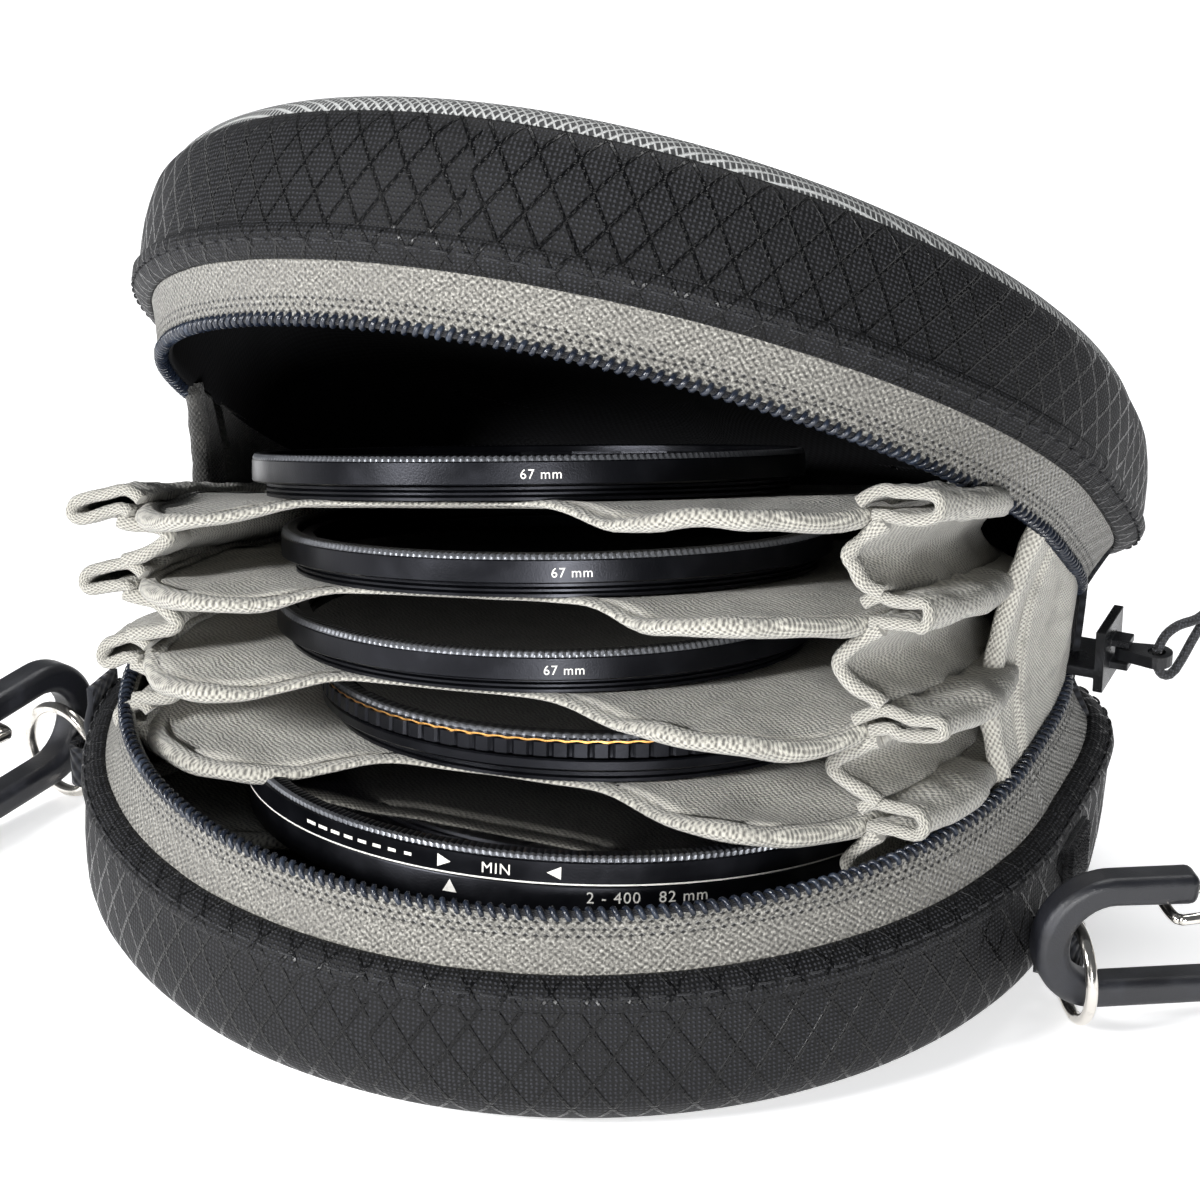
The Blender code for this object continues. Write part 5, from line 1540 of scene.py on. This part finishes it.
# rings, clips and webbing
hardware = {
    "right": {"pin": Vector((67.15, -8.5, 7.5)), "heading": -55.2, "tabY": -9.0},
    "left": {"pin": Vector((-67.15, -12.2, 7.5)), "heading": 165.0, "tabY": -12.0},
    "ringRadius": 6.2, "wireRadius": 0.8, "clipWall": 4.6, "clipLength": 58.0, "endRadius": 9.0,
    "holeRadius": 5.2,
    "holeU": 9.5, "arm": 4.0, "noseU": 20.0, "jawU": 42.0, "barU": 6.5, "barV": -6.45, "barDrop": 1.6,
    "barShift": 1.0, "tilt": 4.3, "gateRadius": 0.7, "gateU": 46.5, "gateV": 7.0, "tipU": 16.8, "tipV": 3.8,
    "gateBend": 1.6, "gateClear": 0.3, "clipRound": 1.25, "ringSteps": 72, "webWall": 0.9,
}


def arcPoints(centre, radius, start, end, steps):
    points = []
    for step in range(steps + 1):
        turn = math.radians(start + (end - start) * step / steps)
        points.append((centre[0] + radius * math.cos(turn), centre[1] + radius * math.sin(turn)))
    return points


def clipFrame(side):
    spec = hardware[side]
    heading = math.radians(spec["heading"])
    out = Vector((math.cos(heading), math.sin(heading), 0.0))
    tilt = math.radians(hardware["tilt"])
    centre = spec["pin"] + out * hardware["ringRadius"]
    along = up.cross(out) * math.cos(tilt) - up * math.sin(tilt)
    across = out.cross(along)
    bar = centre + out * hardware["barShift"] - up * hardware["barDrop"]
    start = bar - along * hardware["barU"] - across * hardware["barV"]
    turn = Matrix((along, across, out)).transposed().to_4x4()
    return centre * mm, out, Matrix.Translation(start * mm) @ turn


def addRing(side):
    centre, out, _ = clipFrame(side)
    radius = hardware["ringRadius"] * mm
    count = hardware["ringSteps"]
    angles = [2.0 * math.pi * k / count for k in range(count)]
    points = [centre + (out * math.cos(a) + up * math.sin(a)) * radius for a in angles]
    mesh = tubeMesh("ring", points, hardware["wireRadius"] * mm, 14, closed=True)
    addPiece("splitRing" + side.capitalize(), mesh, "steel", "ring_" + side, ("ring_" + side,))


# the moulded hook: a disc with the ring's hole, a straight spine, and a nose and jaw for the gate
def addClip(side):
    h = hardware
    end = h["endRadius"]
    far = h["clipLength"] - end
    arm = end - h["arm"]
    points = [(h["noseU"], end)]
    points += arcPoints((end, 0.0), end, 90.0, 270.0, 36)
    points += arcPoints((far, 0.0), end, -90.0, 90.0, 30)
    points += [(h["jawU"], end), (h["jawU"], arm)]
    points += arcPoints((far, 0.0), h["holeRadius"], 90.0, -90.0, 18)
    points += arcPoints((h["holeU"], 0.0), h["holeRadius"], 270.0, 90.0, 18)
    points += [(h["noseU"], arm)]
    data = bpy.data.curves.new("clipOutline", "CURVE")
    data.dimensions = "2D"
    data.fill_mode = "BOTH"
    data.extrude = 0.5 * h["clipWall"] * mm
    line = data.splines.new("POLY")
    line.points.add(len(points) - 1)
    line.use_cyclic_u = True
    for slot, (u, v) in zip(line.points, points):
        slot.co = (u * mm, v * mm, 0.0, 1.0)
    mesh = meshFromData("clipOutline", data)
    work = bmesh.new()
    work.from_mesh(mesh)
    bmesh.ops.remove_doubles(work, verts=work.verts, dist=0.00002)
    bmesh.ops.dissolve_limit(work, angle_limit=math.radians(1.0), verts=work.verts, edges=work.edges)
    work.to_mesh(mesh)
    work.free()
    mesh.shade_smooth()
    body = "carabiner_" + side
    _, _, place = clipFrame(side)
    item = addPiece("clip" + side.capitalize(), mesh, "moulded", body, (body,), place)
    softenEdges(item, h["clipRound"], 4, 50.0)


# the wire gate: two long legs from the pivot holes to the bend behind the nose
def addGate(side):
    h = hardware
    w = 0.5 * h["clipWall"] + h["gateRadius"] + h["gateClear"]
    half = [
        (h["gateU"], h["gateV"], 0.5 * h["clipWall"] - 0.9), (h["gateU"], h["gateV"], w - 0.5),
        (h["gateU"] - 0.5, h["gateV"], w), (h["gateU"] - 3.0, h["gateV"] - 0.4, w),
        (0.5 * (h["gateU"] + h["tipU"]), 0.5 * (h["gateV"] + h["tipV"]), w),
        (h["tipU"] + 2.5, h["tipV"] + 0.3, w), (h["tipU"] + 0.6, h["tipV"], w - 0.4),
        (h["tipU"], h["tipV"], w - h["gateBend"]),
    ]
    other = [(u, v, -z) for u, v, z in reversed(half)]
    _, _, place = clipFrame(side)
    path = smoothPath([place @ (Vector(p) * mm) for p in half + other], 6)
    mesh = tubeMesh("gate", path, h["gateRadius"] * mm, 12)
    addPiece("wireGate" + side.capitalize(), mesh, "steel", "gate_" + side, ("gate_" + side,))


# the sewn webbing loop that holds the ring: it runs out of the seam, round the ring and back
def addWebbing(side):
    sign = 1.0 if side == "right" else -1.0
    y = hardware[side]["tabY"]
    loop = [
        (65.0, y - 2.3), (67.0, y - 2.35), (69.0, y - 2.2), (69.85, y - 1.2), (69.95, y), (69.85, y + 1.2),
        (69.0, y + 2.2), (67.0, y + 2.35), (65.0, y + 2.3),
    ]
    path = smoothPath([(sign * x, yy, 0.0) for x, yy in loop], 5)
    rows = []
    for z in (4.7, 5.2, 6.2, 7.5, 8.8, 9.8, 10.3):
        rows.append([Vector((p.x, p.y, z)) * mm for p in path])
    mesh = gridMesh("webbing", rows, lambda i, j: (j * 0.45, i * 1.0), flip=sign < 0)
    item = addPiece("webbingLoop" + side.capitalize(), mesh, "webbing", "base", ("webbing_tab_" + side,))
    addWall(item, hardware["webWall"], 0.0)
    if side == "left":
        strip = []
        for z in (6.0, 9.0, 12.0, 15.0, 18.0, 20.5):
            row = []
            for yy in (y - 3.4, y - 1.7, y, y + 1.7, y + 3.4):
                out = 0.35 if z > 17.0 else 0.95 + 0.25 * math.sin(z * 0.5)
                x = caseSize["halfWidth"] - 0.015 * abs(yy - y) + out
                row.append(Vector((sign * x, yy, z)) * mm)
            strip.append(row)
        mesh = gridMesh("webbingStrip", strip, lambda i, j: (j * 1.7, i * 2.6))
        addWall(addPiece("webbingStripLeft", mesh, "webbing", "base"), hardware["webWall"], 0.0)


hookLook = {
    "rows": 15, "columns": 17, "lowY": -0.8, "lowZ": 10.2, "wide": 7.6, "high": 6.6, "stray": 0.18,
    "lean": 0.25,
    "size": 0.24, "root": 0.75, "length": 0.85, "padSize": Vector((0.9, 8.4, 7.4)),
    "padPlace": Vector((65.5, 3.0, 13.5)),
}


# the square of hook tape, with a dense stubble of short hooks
def addHookPatch():
    look = hookLook
    work = bmesh.new()
    x = caseSize["halfWidth"] + look["root"]
    for row in range(look["rows"]):
        for column in range(look["columns"]):
            y = look["lowY"] + look["wide"] * column / 16 + look["stray"] * ripple(row * 3.1, column * 1.7)
            z = look["lowZ"] + look["high"] * row / 14 + look["stray"] * ripple(row * 1.3, column * 2.9)
            lean = look["lean"] * ripple(row * 2.2, column * 4.1, 3.0)
            ends = []
            for out, shift, size in ((0.0, 0.0, look["size"]), (look["length"], lean, 0.5 * look["size"])):
                ends.append([
                    work.verts.new(Vector((x + out, y + shift + dy * size, z + shift + dz * size)) * mm)
                    for dy, dz in ((-1, -1), (1, -1), (1, 1), (-1, 1))
                ])
            low, high = ends
            work.faces.new(low[::-1])
            work.faces.new(high)
            for k in range(4):
                after = (k + 1) % 4
                work.faces.new((low[k], low[after], high[after], high[k]))
    pad = bmesh.ops.create_cube(work, size=1.0)["verts"]
    bmesh.ops.scale(work, vec=look["padSize"] * mm, verts=pad)
    bmesh.ops.translate(work, vec=look["padPlace"] * mm, verts=pad)
    addPiece("hookPatch", toMesh(work, "hookPatch"), "hook", "base", ("hook_patch",))


for sideName in ("left", "right"):
    addRing(sideName)
    addClip(sideName)
    addGate(sideName)
    addWebbing(sideName)
addHookPatch()
print("hardware built")


# studio: pale floor, soft lamps
studio = {
    "floorColour": "#f4f4f5", "floorGlow": 0.50, "floorHalf": 3.0, "floorDrop": 0.0002,
    "worldStrength": 0.17, "worldColour": "#e9edf2", "aim": Vector((0.0, -0.01, 0.04)),
    "lamps": (
        ("keyLamp", (-0.36, -0.55, 0.34), 0.16, 6.6),
        ("sideLamp", (0.30, -0.62, 0.16), 0.16, 4.4),
        ("topLamp", (-0.05, 0.30, 0.70), 0.45, 3.4),
    ),
}


def addStudio():
    made, tree, shader = newMaterial("floorPaperMatte", {"Roughness": 0.9, "Specular IOR Level": 0.1})
    shader.inputs["Base Color"].default_value = toLinear(studio["floorColour"])
    seen = addNode(tree, "LightPath", {}, "Is Camera Ray")
    for kind in ("Is Glossy Ray", "Is Transmission Ray"):
        seen = addNode(tree, "Math", [seen, addNode(tree, "LightPath", {}, kind)], operation="MAXIMUM")
    glow = addNode(tree, "Math", [seen, studio["floorGlow"]], operation="MULTIPLY")
    shader.inputs["Emission Color"].default_value = (1.0, 1.0, 1.0, 1.0)
    tree.links.new(glow, shader.inputs["Emission Strength"])
    mesh = bpy.data.meshes.new("floor")
    half = studio["floorHalf"]
    corners = [(-half, -half, 0), (half, -half, 0), (half, half, 0), (-half, half, 0)]
    mesh.from_pydata(corners, [], [(0, 1, 2, 3)])
    mesh.materials.append(made)
    floor = bpy.data.objects.new("floor", mesh)
    floor.location = (0.0, 0.0, -studio["floorDrop"])
    bpy.context.scene.collection.objects.link(floor)
    world = bpy.data.worlds.new("studioWorld")
    bpy.context.scene.world = world
    world.use_nodes = True
    tree = world.node_tree
    background = tree.nodes["Background"]
    rays = [addNode(tree, "LightPath", {}, kind) for kind in ("Is Camera Ray", "Is Transmission Ray")]
    seen = addNode(tree, "Math", rays, operation="MAXIMUM")
    background.inputs["Color"].default_value = toLinear(studio["worldColour"])
    strength = addNode(tree, "MapRange", [seen, 0.0, 1.0, studio["worldStrength"], 1.0])
    tree.links.new(strength, background.inputs["Strength"])
    for name, spot, size, power in studio["lamps"]:
        light = bpy.data.lights.new(name, "AREA")
        light.shape = "DISK"
        light.size = size
        light.energy = power
        lamp = bpy.data.objects.new(name, light)
        lamp.location = spot
        lamp.rotation_mode = "QUATERNION"
        lamp.rotation_quaternion = (Vector(spot) - studio["aim"]).to_track_quat("Z", "Y")
        bpy.context.scene.collection.objects.link(lamp)


addStudio()
bpy.context.scene.view_settings.view_transform = "Standard"
print("studio ready")
